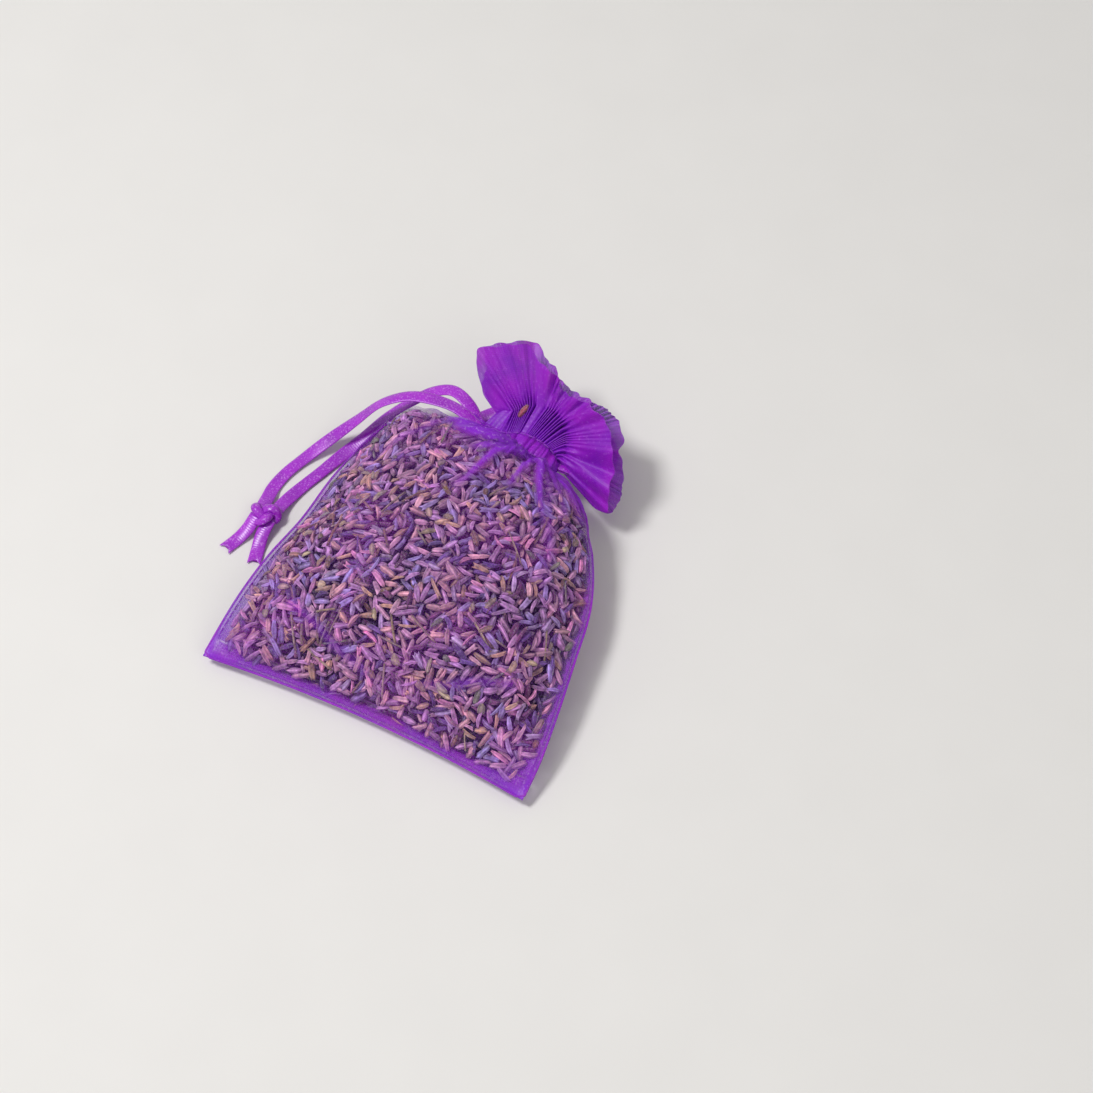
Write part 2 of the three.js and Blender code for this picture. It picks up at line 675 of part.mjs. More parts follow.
for (const [side, pull] of Object.entries(pulls)) {
  const acrossX = side === 'left';
  const room = solidOf(knot(pull.knot, acrossX, GAP));
  piece(`${side}_pull_knot`, knot(pull.knot, acrossX, 0), satin);
  for (const name of ['front_strand', 'back_strand', 'outer_tail', 'inner_tail']) {
    const steps = pull[name].length > 4 ? 32 : 7;
    const tape = solidOf(ribbon(pull[name], steps)).subtract(room);
    piece(`${side}_pull_${name}`, geometryOf(tape), satin);
  }
}

// Frill: two folded leaves that fan out from the drawstring, tilted up from the bag
const frillUp = new THREE.Vector3(0, Math.cos(radians(FRILL_TILT)), Math.sin(radians(FRILL_TILT)));
const frillFace = new THREE.Vector3(0, -frillUp.z, frillUp.y);
const frillStart = new THREE.Vector3(NECK_X, AXIS_Y, NECK_Z).addScaledVector(frillUp, FRILL_RISE);
const rimCutBack = [
  [0, RIM_END + 2], [0.065, 0], [0.15, RIM_TRIM - 1], [0.26, RIM_TRIM], [0.3, RIM_TRIM + 3.5],
  [0.38, RIM_NOTCH - 5], [0.51, RIM_NOTCH], [0.585, RIM_NOTCH - 1], [0.66, RIM_NOTCH - 3],
  [0.79, RIM_END + 3], [0.95, RIM_END + 1], [1, RIM_END],
];
const frontFold = [
  [0, 0.1], [0.13, 0.45], [0.32, 0.3], [0.48, 0.1], [0.6, 0.55], [0.8, 1], [0.93, 0.8], [1, 0.3],
];

function foldDepth(t, reach, front) {
  const grow = Math.max(0, reach - FRILL_BASE) / (FRILL_REACH - FRILL_BASE);
  const lobes = 0.5 - 0.5 * Math.cos(2 * Math.PI * BACK_FOLDS * t);
  const wave = front ? Math.max(0, through(frontFold, t)) : lobes;
  return wave * lerp(FOLD_BASE, front ? FOLD_RIM : FOLD_RIM - BACK_EASE, grow);
}

function fanPoint(t, reach, depth) {
  const swing = radians(FRILL_SWAY + lerp(-FRILL_SPREAD, FRILL_SPREAD, t));
  const point = frillStart.clone().addScaledVector(frillUp, reach * Math.cos(swing));
  point.x += reach * Math.sin(swing);
  return point.addScaledVector(frillFace, depth);
}

function leaf(front) {
  const cols = 24;
  const rows = 5;
  const surface = (out) => (i, j) => {
    const t = i / cols;
    const reach = lerp(FRILL_BASE, FRILL_REACH - through(rimCutBack, t), j / rows);
    const depth = FRILL_SPLIT + foldDepth(t, reach, front) + out;
    return fanPoint(t, reach, front ? depth : -depth);
  };
  return skin(cols, rows, surface(CLOTH / 2), surface(-CLOTH / 2), false);
}

piece('front_frill', leaf(true), organza);
piece('back_frill', leaf(false), organza);

// Bunched cloth between the casing and the frill
function neckGather() {
  const cols = 48;
  const rows = 3;
  const surface = (out) => (i, j) => {
    const turn = (i / cols) * 2 * Math.PI;
    const front = turn <= Math.PI;
    const t = front ? 1 - turn / Math.PI : turn / Math.PI - 1;
    const fold = CASING_PLEAT * (i % 2 === 0 ? -1 : 1) + out;
    const low = neckPoint(turn, NECK_RX + fold, NECK_RZ + fold, AXIS_Y + GAP);
    const split = FRILL_SPLIT * Math.min(1, Math.abs(Math.sin(turn)) * 8);
    const depth = split + foldDepth(t, FRILL_BASE, front);
    const high = fanPoint(t, FRILL_BASE - GATHER_CLEARANCE, front ? depth : -depth);
    high.x += out * Math.cos(turn);
    high.addScaledVector(frillFace, out * Math.sin(turn));
    return low.lerp(high, j / rows);
  };
  return skin(cols, rows, surface(CLOTH / 2), surface(-CLOTH / 2), true);
}

piece('neck_gather', neckGather(), organza);

export default sachet;
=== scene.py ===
# Lavender sachet: a drawn-up organza bag of dried lavender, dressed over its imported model
import math
from itertools import product

import bpy
import numpy as np
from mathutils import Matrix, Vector, noise
from mathutils.bvhtree import BVHTree


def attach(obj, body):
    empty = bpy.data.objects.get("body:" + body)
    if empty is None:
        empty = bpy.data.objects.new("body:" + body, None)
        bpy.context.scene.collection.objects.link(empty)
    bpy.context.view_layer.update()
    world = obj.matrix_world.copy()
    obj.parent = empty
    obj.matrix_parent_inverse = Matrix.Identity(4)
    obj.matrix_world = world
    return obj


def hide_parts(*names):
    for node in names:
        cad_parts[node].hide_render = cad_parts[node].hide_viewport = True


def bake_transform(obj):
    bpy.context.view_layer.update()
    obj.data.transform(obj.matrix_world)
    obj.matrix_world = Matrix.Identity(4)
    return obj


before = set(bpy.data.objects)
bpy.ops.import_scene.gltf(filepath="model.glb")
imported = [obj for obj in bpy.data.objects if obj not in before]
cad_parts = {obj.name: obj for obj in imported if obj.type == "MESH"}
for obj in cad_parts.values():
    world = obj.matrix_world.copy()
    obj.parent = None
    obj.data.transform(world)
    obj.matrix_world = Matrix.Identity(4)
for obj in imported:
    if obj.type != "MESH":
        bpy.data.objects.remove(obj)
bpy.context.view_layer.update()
mm = 0.001
weaveUnit = 100  # millimetres to one unit of the weave map
dice = np.random.default_rng(11)
print("frame loaded")

# Camera, at the photograph's angle and framing
cameraView = {"azimuth": 27.1, "elevation": 57.0, "distance": 854, "target": (20.7, 17.3, 12), "angle": 20}


def addCamera(view):
    a, e = math.radians(view["azimuth"]), math.radians(view["elevation"])
    forward = Vector((-math.sin(a) * math.cos(e), math.cos(a) * math.cos(e), -math.sin(e)))
    data = bpy.data.cameras.new("photoCamera")
    data.sensor_fit = "HORIZONTAL"
    data.angle = math.radians(view["angle"])
    data.clip_start = 0.01
    camera = bpy.data.objects.new("photoCamera", data)
    camera.location = (Vector(view["target"]) - forward * view["distance"]) * mm
    camera.rotation_euler = forward.to_track_quat("-Z", "Y").to_euler()
    bpy.context.collection.objects.link(camera)
    bpy.context.scene.camera = camera


addCamera(cameraView)


# Small helpers for curves and fields
def linear(code):
    values = [int(code[i:i + 2], 16) / 255 for i in (1, 3, 5)]
    return tuple(v / 12.92 if v <= 0.04045 else ((v + 0.055) / 1.055) ** 2.4 for v in values) + (1.0,)


def ease(t):
    t = np.clip(t, 0, 1)
    return t * t * (3 - 2 * t)


def lerp(a, b, t):
    return a + (b - a) * t


def bell(x, middle, width):
    return np.exp(-((x - middle) / width) ** 2)


def fullTurn(count):
    return np.linspace(0, 2 * np.pi, count, endpoint=False)


def sines(turn, rows):
    # Uneven wave, each row: size, how often it comes in a turn, where it starts
    return sum(size * np.sin(count * turn + shift) for size, count, shift in rows)


def through(points):
    # Smooth line through a list of (place, value)
    xs = np.array([p[0] for p in points], float)
    ys = np.array([p[1] for p in points], float)
    steps = np.diff(ys) / np.diff(xs)
    slopes = np.concatenate([steps[:1], (steps[:-1] + steps[1:]) / 2, steps[-1:]])

    def value(x):
        x = np.clip(np.asarray(x, float), xs[0], xs[-1])
        i = np.clip(np.searchsorted(xs, x, side="right") - 1, 0, len(xs) - 2)
        h = xs[i + 1] - xs[i]
        t = (x - xs[i]) / h
        return ((2 * t**3 - 3 * t**2 + 1) * ys[i] + (t**3 - 2 * t**2 + t) * h * slopes[i]
                + (3 * t**2 - 2 * t**3) * ys[i + 1] + (t**3 - t**2) * h * slopes[i + 1])

    return value


def noiseField(points, size, seed):
    flat = points.reshape(-1, 3) / size + seed
    return np.array([noise.noise(Vector(p)) for p in flat]).reshape(points.shape[:-1])


def unit(v):
    return v / np.maximum(np.linalg.norm(v, axis=-1, keepdims=True), 1e-9)


def runAlong(path):
    return np.concatenate([[0], np.cumsum(np.linalg.norm(np.diff(path, axis=0), axis=1))])


def frameAlong(path, loop=False):
    # Three directions at each point of a line: ahead, level to the side, and over it
    if loop:
        ahead = unit(np.roll(path, -1, axis=0) - np.roll(path, 1, axis=0))
    else:
        ahead = unit(np.gradient(path, axis=0))
    side = unit(np.cross(ahead, np.array([0.0, 0.0, 1.0])))
    return ahead, side, np.cross(side, ahead)


def gridNormals(grid, loop=False):
    if loop:
        across = np.roll(grid, -1, axis=1) - np.roll(grid, 1, axis=1)
    else:
        across = np.gradient(grid, axis=1)
    along = np.gradient(grid, axis=0)
    return unit(np.cross(across, along))


# Small helpers for meshes
def quads(index, loop=False):
    if loop:
        index = np.concatenate([index, index[:, :1]], axis=1)
    a, b, c, d = index[:-1, :-1], index[:-1, 1:], index[1:, 1:], index[1:, :-1]
    return np.stack([a, b, c, d], -1).reshape(-1, 4)


def shellFaces(rows, cols, loop=False):
    # Two walls of one grid, and the edges between them that close the shell
    top = np.arange(rows * cols).reshape(rows, cols)
    low = top + rows * cols
    faces = [quads(top, loop), quads(low, loop)[:, ::-1]]
    if not loop:
        faces += [quads(np.stack([top[:, 0], low[:, 0]])), quads(np.stack([low[:, -1], top[:, -1]]))]
    faces += [quads(np.stack([low[0], top[0]]), loop), quads(np.stack([top[-1], low[-1]]), loop)]
    return np.concatenate(faces)


def sheetSolid(grid, thickness, loop=False):
    out = gridNormals(grid, loop) * thickness / 2
    points = np.concatenate([(grid + out).reshape(-1, 3), (grid - out).reshape(-1, 3)])
    return points, shellFaces(*grid.shape[:2], loop)


def joined(parts):
    # Many small meshes as one
    points, faces, base = [], [], 0
    for shape, cells in parts:
        points.append(shape)
        faces += [[v + base for v in cell] for cell in cells]
        base += len(shape)
    return np.concatenate(points), faces


def weaveMap(along, across, walls=1):
    # Places on the flat cloth, in millimetres, for one or both walls of a grid
    flat = np.stack(np.broadcast_arrays(along, across), -1).reshape(-1, 2) / weaveUnit
    return np.tile(flat, (walls, 1))


def faceOut(obj):
    bpy.ops.object.select_all(action="DESELECT")
    obj.select_set(True)
    bpy.context.view_layer.objects.active = obj
    bpy.ops.object.mode_set(mode="EDIT")
    bpy.ops.mesh.select_all(action="SELECT")
    bpy.ops.mesh.normals_make_consistent(inside=False)
    bpy.ops.object.mode_set(mode="OBJECT")
    obj.select_set(False)


def addPiece(name, points, faces, material, slot, nodes=(), weave=None, body="bag", **values):
    # Points in millimetres, with a weave map and named values per point
    mesh = bpy.data.meshes.new(name)
    mesh.from_pydata((np.asarray(points, float) * mm).tolist(), [], [list(map(int, f)) for f in faces])
    obj = bpy.data.objects.new(name, mesh)
    bpy.context.collection.objects.link(obj)
    if weave is not None:
        corners = np.zeros(len(mesh.loops), np.int32)
        mesh.loops.foreach_get("vertex_index", corners)
        layer = mesh.uv_layers.new(name="weave")
        layer.data.foreach_set("uv", np.asarray(weave, np.float32)[corners].ravel())
    for key, value in values.items():
        value = np.asarray(value, np.float32)
        kind, field = ("FLOAT_COLOR", "color") if value.ndim == 2 else ("FLOAT", "value")
        mesh.attributes.new(key, kind, "POINT").data.foreach_set(field, value.ravel())
    mesh.shade_smooth()
    faceOut(obj)
    mesh.materials.append(material)
    if nodes:
        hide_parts(*nodes)
    if body:
        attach(obj, body)
    return obj


# Materials
def node(tree, kind, inputs=(), **settings):
    # An input, by name or in order, is a value, a socket or a node: a mix's colour, else its first output
    made = tree.nodes.new("ShaderNode" + kind)
    for key, value in settings.items():
        setattr(made, key, value)
    for key, value in inputs.items() if isinstance(inputs, dict) else enumerate(inputs):
        if isinstance(value, bpy.types.Node):
            value = value.outputs[2 if value.bl_idname == "ShaderNodeMix" else 0]
        if isinstance(value, bpy.types.NodeSocket):
            tree.links.new(value, made.inputs[key])
        else:
            made.inputs[key].default_value = value
    return made


def newMaterial(name, *patterns):
    # Starts a material with its noise patterns, each a size in millimetres and a detail
    made = bpy.data.materials.new(name)
    made.use_nodes = True
    tree = made.node_tree
    tree.nodes.clear()
    place = node(tree, "TexCoord").outputs["Object"]
    noises = [node(tree, "TexNoise", {"Vector": place, "Scale": 1 / (size * mm), "Detail": detail})
              for size, detail in patterns]
    return made, tree, noises


def endMaterial(tree, colour, coats, relief, skin):
    # Ends a material: colours laid over the first by their shares, relief (strength, mm, height) and skin
    for share, code in coats:
        colour = node(tree, "Mix", {0: share, 6: colour, 7: linear(code)}, data_type="RGBA")
    strength, depth, height = relief
    bump = node(tree, "Bump", {"Strength": strength, "Distance": depth * mm, "Height": height})
    surface = node(tree, "BsdfPrincipled", {"Base Color": colour, "Normal": bump, **skin})
    node(tree, "OutputMaterial", {"Surface": surface})


def organza(name, spec):
    # Plain-woven nylon organza: crisp, sheer, a fine open mesh of shiny threads; folds and hems look denser
    made, tree, (sparkleSpeck, cloud) = newMaterial(name, (spec["sparkleSpeck"], 2.0), (spec["cloud"], 3.0))
    layers = node(tree, "Attribute", attribute_name="layers").outputs["Fac"]
    flat = node(tree, "SeparateXYZ", [node(tree, "UVMap", uv_map="weave")])
    threads = []
    for way in (0, 1):  # warp, then weft
        turn = [flat.outputs[way], 2 * math.pi * weaveUnit / spec["pitch"]]
        turn = node(tree, "Math", turn, operation="MULTIPLY")
        threads.append(node(tree, "Math", [turn], operation="SINE"))
    weave = node(tree, "Math", threads, operation="MAXIMUM")
    shade = node(tree, "MapRange", [cloud, 0.35, 0.65])
    # painted highlight: specks of the thread colour, where the weave would catch the light
    paintedSparkle = node(tree, "MapRange", [sparkleSpeck, 0.58, 0.72, 0.0, spec["paintedSparkle"]])
    sheer = node(tree, "MapRange", [weave, -0.6, 1.0, *spec["alpha"]])
    haze = node(tree, "MapRange", [cloud, 0.38, 0.62, 1 - spec["haze"], 1 + spec["haze"]])
    sheer = node(tree, "Math", [sheer, haze], operation="MULTIPLY")
    cover = node(tree, "Math", [layers, spec["cover"], sheer], operation="MULTIPLY_ADD", use_clamp=True)
    coats = [(shade, spec["magenta"]), (layers, spec["doubled"]), (paintedSparkle, spec["thread"])]
    endMaterial(tree, linear(spec["violet"]), coats, (0.25, 0.05, weave), {
        "Roughness": spec["roughness"], "IOR": 1.5, "Alpha": cover, "Specular IOR Level": 0.35,
        "Sheen Weight": spec["sheen"], "Sheen Roughness": 0.35, "Sheen Tint": linear(spec["thread"])})
    return made


sheerOrganza = organza("sheerOrganza", {
    "pitch": 0.8, "sparkleSpeck": 0.9, "cloud": 12, "violet": "#9636dc", "magenta": "#bd42dc", "doubled": "#8e24d2",
    "thread": "#d9a6f2", "paintedSparkle": 0.5, "alpha": (0.03, 0.14), "cover": 0.85, "haze": 0.5,
    "roughness": 0.4, "sheen": 0.2,
})  # threads are really 0.25 mm apart, drawn at 0.8 mm so that they show
denseOrganza = organza("denseOrganza", {
    "pitch": 0.7, "sparkleSpeck": 0.7, "cloud": 9, "violet": "#941dce", "magenta": "#ac22d2", "doubled": "#8416c4",
    "thread": "#c86cf0", "paintedSparkle": 0.4, "alpha": (0.62, 0.76), "cover": 0.24, "haze": 0.1,
    "roughness": 0.42, "sheen": 0.5,
})


def satin(name, spec):
    # Woven polyester satin ribbon: smooth, long floats that catch a soft streak of light, firm edges
    made, tree, (glintAndRoughness, cloud) = newMaterial(name, (spec["float"], 2.0), (spec["cloud"], 1.0))
    flat = node(tree, "SeparateXYZ", [node(tree, "UVMap", uv_map="weave")])
    ribs = node(tree, "Math", [flat, 2 * math.pi * weaveUnit / spec["rib"]], operation="MULTIPLY")
    ribs = node(tree, "Math", [ribs], operation="SINE")
    edge = node(tree, "Math", [flat.outputs[1]], operation="ABSOLUTE")
    rim = node(tree, "MapRange", [edge, *(e / weaveUnit for e in spec["rim"]), 0.0, 0.5])
    # painted highlight: specks of the glint colour where the fine noise is high, and broad patches of the
    # bright colour over the deep one
    paintedLight = node(tree, "MapRange", [glintAndRoughness, 0.56, 0.7, 0.0, 0.42])
    rough = node(tree, "MapRange", [glintAndRoughness, 0.0, 1.0, 0.2, 0.4])
    coats = [(cloud, spec["bright"]), (paintedLight, spec["glint"]), (rim, spec["edge"])]
    endMaterial(tree, linear(spec["deep"]), coats, (0.18, 0.05, ribs), {
        "Roughness": rough, "IOR": 1.5, "Specular IOR Level": 0.55,
        "Sheen Weight": 0.1, "Sheen Roughness": 0.3, "Sheen Tint": linear(spec["glint"])})
    return made


satinRibbon = satin("satinRibbon", {
    "rib": 0.7, "float": 0.5, "cloud": 7, "rim": (1.45, 1.75),
    "deep": "#8412ae", "bright": "#bc2ae0", "glint": "#f2b8ff", "edge": "#c64ce8",
})


def driedPlant(name, spec):
    # Dried plant matter: matt, finely downy, its colour broken by small light and dark patches
    made, tree, (fine, wide) = newMaterial(name, (0.55, 3.0), (1.6, 2.0))
    tone = node(tree, "Attribute", attribute_name="tone").outputs["Color"]
    dark = node(tree, "MapRange", [wide, 0.3, 0.7, 1 - spec["mottle"], 1 + spec["mottle"] * 0.6])
    down = node(tree, "MapRange", [fine, 0.52, 0.75, 0.0, spec["down"]])
    body = node(tree, "Mix", {0: 1.0, 6: tone, 7: dark}, data_type="RGBA", blend_type="MULTIPLY")
    endMaterial(tree, body, [(down, "#cfc3d2")], (0.8, 0.2, fine), {
        "Roughness": spec["roughness"], "IOR": 1.45, "Specular IOR Level": 0.25,
        "Sheen Weight": 0.2, "Sheen Roughness": 0.6, "Sheen Tint": linear("#d8cfe0")})
    return made


budSkin = driedPlant("driedLavenderBud", {"roughness": 0.82, "mottle": 0.5, "down": 0.42})
coreSkin = driedPlant("driedLavenderMass", {"roughness": 0.9, "mottle": 0.5, "down": 0.15})


def spunThread(name, spec):
    # Spun polyester sewing thread: two plies twisted together, a dull sheen
    made, tree, (ply,) = newMaterial(name, (spec["ply"], 1.0))
    endMaterial(tree, linear(spec["deep"]), [(ply, spec["shine"])], (0.4, 0.06, ply), {
        "Roughness": 0.6, "IOR": 1.5, "Sheen Weight": 0.2, "Sheen Tint": linear(spec["shine"])})
    return made


sewingThread = spunThread("sewingThread", {"ply": 0.3, "deep": "#6a139c", "shine": "#b25adf"})
print("materials made")

# Form of the filled bag: x across, y from the bottom seam to the mouth, z up, in millimetres
bagForm = {
    "width": 98, "length": 88, "bottomY": -52, "dip": 3, "dipBlend": 30, "tilt": 5, "neckBlend": 31,
    "seamGap": 0.2, "flatPress": 1.6, "flatStop": 9, "flatBlend": (14, 16), "pleat": 0.7, "pleats": 5,
    "frontPower": 2.4, "backPower": 3.2, "lowest": 0.05,
}


def toTop(s):
    return bagForm["length"] - s


def profile(low, high):
    # Smooth line up the bag: places counted from the bottom seam, then places counted back from the mouth
    return through(low + [(toTop(d), value) for d, value in high])


drawnLeft = profile([(0, 0), (19, 1), (33, 2.5), (46, 5)],
                    [(26, 6.3), (13, 9.4), (6, 13), (3.5, 15.5), (1.6, 21), (0.7, 31), (0, 43.6)])
drawnRight = profile([(0, 0), (12, 0.4), (41, 5)],
                     [(30, 8.4), (13, 15.2), (6, 19.4), (3.5, 21), (1.6, 23.5), (0.7, 28), (0, 37.6)])
topTilt = profile([(0, 0), (40, 0)], [(26, 0.35), (13, 0.75), (4, 1), (1.6, 0.76), (0.7, 0.22), (0, 0)])
seamHeight = profile([(0, 3.5), (8, 6), (20, 9), (40, 11.3)], [(33, 12.2), (13, 13.2), (0, 15)])
crownRise = profile([(0, 0), (4, 5), (10, 10.6), (20, 16.4), (40, 21.2)],
                    [(38, 21.6), (23, 20.4), (13, 18.4), (6, 15.6), (3, 13), (1.2, 10), (0, 6.8)])
underLift = profile([(0, 3.5), (4, 0.8), (10, -0.3), (20, 0), (40, 0)],
                    [(33, 0), (17, 0.1), (11, 0.6), (6, 1.8), (3, 3.6), (1.2, 5.8), (0, 8.2)])


def halfWidth(s):
    return (bagForm["width"] - drawnLeft(s) - drawnRight(s)) / 2


def edgeGap(u, s):
    return np.minimum((1 - np.abs(u)) * halfWidth(s), s)


def clothX(u, s):
    return (drawnLeft(s) - drawnRight(s)) / 2 + u * halfWidth(s)


def clothY(u, s):
    dip = bagForm["dip"] * (1 - u * u) * (1 - ease(s / bagForm["dipBlend"]))
    return bagForm["bottomY"] + s + dip - u * bagForm["tilt"] * topTilt(s)


def neckShare(s):
    return ease(1 - toTop(s) / bagForm["neckBlend"])


def bulge(u, s, power):
    return lerp(np.maximum(0, 1 - np.abs(u) ** power), np.sqrt(np.maximum(0, 1 - u * u)), neckShare(s))


def frontHeight(u, s):
    pleat = bagForm["pleat"] * neckShare(s) * np.cos(bagForm["pleats"] * np.pi * u)
    crown = np.maximum(0, crownRise(s) + pleat) * bulge(u, s, bagForm["frontPower"])
    return seamHeight(s) + bagForm["seamGap"] + crown


def backHeight(u, s):
    start, stop = bagForm["flatBlend"]
    press = bagForm["flatPress"] * ease(s / start) * ease((toTop(s) - bagForm["flatStop"]) / stop)
    drop = np.maximum(0, seamHeight(s) - underLift(s)) + press
    low = seamHeight(s) - bagForm["seamGap"] - drop * bulge(u, s, bagForm["backPower"])
    return np.maximum(bagForm["lowest"], low)


def hemLevel(u, s):
    # Height of the turned-in allowance, which leans towards the back away from the seam
    return lerp(seamHeight(s), backHeight(u, s), 0.6 * ease(edgeGap(u, s) / 5))


# Bag cloth: one closed shell with seam puckers, gathers at the neck and the folds that run down from it
bagCloth = {
    "columns": 181, "rows": 160, "neck": (3.0, 36.3), "gathers": 30, "gatherDepth": 0.55, "gatherRun": 24,
    "pucker": 0.4, "puckerPitch": 6.5, "puckerWidth": 7, "puff": 1.3, "backPuff": 0.3, "puffSize": 11,
    "bead": 0.2, "beadSize": 2.6, "margin": 2.0,
    # Doubled cloth, how dense and how far: seams, bottom corners, round the neck, its gathers, the top edge
    "seamLayers": 0.4, "cornerLayers": (0.6, 8), "neckLayers": (0.85, 9), "gatherLayers": 0.3,
    "topLayers": (0.75, 4.2, 5.6),
    # Each fold: points x, y on the front, height, half width, how much cloth lies doubled, how late it fades
    "folds": [
        ([(9.9, 33.9), (13.7, 25.9), (17.1, 19.4), (22.2, 12.8)], 1.5, 1.0, 1.25, 2),
        ([(9.2, 32.0), (8.2, 22.3), (8.6, 16.9)], 1.2, 0.9, 1.1, 2),
        ([(5.0, 32.5), (-0.5, 27.5), (-2.4, 14.7), (-5.1, 8.6)], 1.4, 1.0, 1.2, 2),
        ([(5.7, 34.5), (1.0, 30.6), (-7.5, 24.5)], 1.0, 1.3, 1.2, 3),
        ([(2.0, 34.0), (-6.0, 32.0), (-16.0, 31.0)], 1.0, 2.6, 1.5, 8),
        ([(1.0, 35.0), (-8.0, 34.8), (-19.0, 35.0)], 1.0, 3.2, 1.8, 8),
        ([(11.5, 33.5), (19.0, 27.0), (27.0, 18.0)], 1.0, 1.1, 0.75, 2),
        ([(12.0, 34.0), (21.0, 29.5), (29.5, 23.5)], 0.8, 1.2, 1.1, 3),
        ([(-18.0, 33.0), (-27.0, 22.0), (-33.0, 6.0)], 0.5, 1.4, 0.3, 2),
        ([(14.0, 30.0), (25.0, 10.0), (31.0, -8.0)], 0.45, 1.4, 0.3, 2),
        ([(-30.0, -34.0), (-12.0, -40.0), (4.0, -43.0)], 0.5, 1.0, 0.35, 3),
        ([(34.0, -30.0), (18.0, -38.0), (8.0, -41.0)], 0.5, 1.0, 0.35, 3),
    ],
}


def alongLine(x, y, line, width, late):
    # How strongly each point lies on a fold that fades towards its far end
    ends = [np.array(p, float) for p in line]
    lengths = [np.linalg.norm(b - a) for a, b in zip(ends[:-1], ends[1:])]
    total, run = sum(lengths), 0.0
    best = np.zeros_like(x)
    for a, b, size in zip(ends[:-1], ends[1:], lengths):
        d = (b - a) / size
        t = np.clip((x - a[0]) * d[0] + (y - a[1]) * d[1], 0, size)
        gap = np.hypot(x - a[0] - t * d[0], y - a[1] - t * d[1])
        fade = 1 - ((run + t) / total) ** late
        best = np.maximum(best, bell(gap, 0, width) * fade)
        run += size
    return best


def bagSurface(spec):
    # Both sides of the cloth, how doubled it is, and the bed under each side that the buds lie on
    w = np.linspace(0, 1, spec["rows"])
    u, s = np.meshgrid(np.sin(np.linspace(-1, 1, spec["columns"]) * np.pi / 2),
                       bagForm["length"] * (1 - (1 - w) ** 1.25))
    x, y, edge = clothX(u, s), clothY(u, s), edgeGap(u, s)
    corner = np.hypot((1 - np.abs(u)) * halfWidth(s), s)
    around = np.arctan2(x - spec["neck"][0], spec["neck"][1] + 2 - y)
    reach = np.hypot(x - spec["neck"][0], y - spec["neck"][1])
    gather = np.exp(-(reach / spec["gatherRun"]) ** 1.5)
    doubled = spec["seamLayers"] * ease(1.25 - edge / spec["margin"])
    doubled = doubled + spec["neckLayers"][0] * ease(1 - reach / spec["neckLayers"][1])
    doubled = doubled + spec["cornerLayers"][0] * bell(corner, 0, spec["cornerLayers"][1])
    dense, right, left = spec["topLayers"]
    doubled = doubled + dense * ease(1 - toTop(s) / lerp(right, left, ease(-u)))
    sides = {"edge": edge, "s": s, "u": u}
    for side, heightOf, out, puff, shift in (("front", frontHeight, 1, 1, 0),
                                             ("back", backHeight, -1, spec["backPuff"], 0.7)):
        grid = np.stack([x, y, heightOf(u, s)], -1)
        normal = gridNormals(grid) * out
        turn = around * spec["gathers"] / np.pi + shift
        turn = turn + 0.9 * noiseField(np.stack([around * 4, reach * 0.02, around * 0], -1), 1.0, 3.1)
        wave = 1 - np.abs(np.sin(turn * np.pi / 2)) * 2
        layers = doubled + spec["gatherLayers"] * gather * ease(wave * 0.6 + 0.1)
        pucker = np.cos(2 * np.pi * (s + x * 0.6) / spec["puckerPitch"] + 2 * noiseField(grid, 20, 9.0))
        band = spec["pucker"] * bell(edge, 4, spec["puckerWidth"]) * ease(edge / 3)
        inner = ease(np.minimum(edge, toTop(s)) / 9)
        lump = spec["puff"] * (0.5 + 0.9 * noiseField(grid, spec["puffSize"], 5.5)) * inner * puff
        lump = lump + spec["bead"] * noiseField(grid, spec["beadSize"], 1.7) * ease(edge / 4)
        bed = lump - spec["gatherDepth"] * gather - band  # the buds lie below every dip of the cloth
        sides[side + "Bed"] = grid + normal * bed[..., None]
        lift = lump + spec["gatherDepth"] * gather * wave + band * pucker
        if side == "front":
            for line, height, width, thick, late in spec["folds"]:
                on = alongLine(x, y, line, width, late)
                lift = lift + height * on * ease(edge / 2)
                layers = np.maximum(layers, thick * on)
        lift = lift * ease(toTop(s) / 1.2)
        sides[side] = grid + normal * lift[..., None]
        sides[side + "Layers"] = np.clip(layers, 0, 1)
    for key, lowest in (("back", bagForm["lowest"]), ("backBed", 0.1)):
        sides[key][..., 2] = np.maximum(sides[key][..., 2], lowest)
    return sides


def makeBagCloth(spec):
    surface = bagSurface(spec)
    points = np.concatenate([surface[side].reshape(-1, 3) for side in ("front", "back")])
    layers = np.concatenate([surface[side + "Layers"].ravel() for side in ("front", "back")])
    flat = weaveMap(surface["u"] * bagForm["width"] / 2, surface["s"])
    weave = np.concatenate([flat, flat + (1.2, 0)])  # the back lies beside the front
    cloth = addPiece("bagCloth", points, shellFaces(*surface["edge"].shape), sheerOrganza, "organza",
                     ("front_panel", "back_panel"), weave, layers=layers)
    return cloth, surface


cloth, surface = makeBagCloth(bagCloth)
print("bag cloth", len(cloth.data.polygons), "faces")

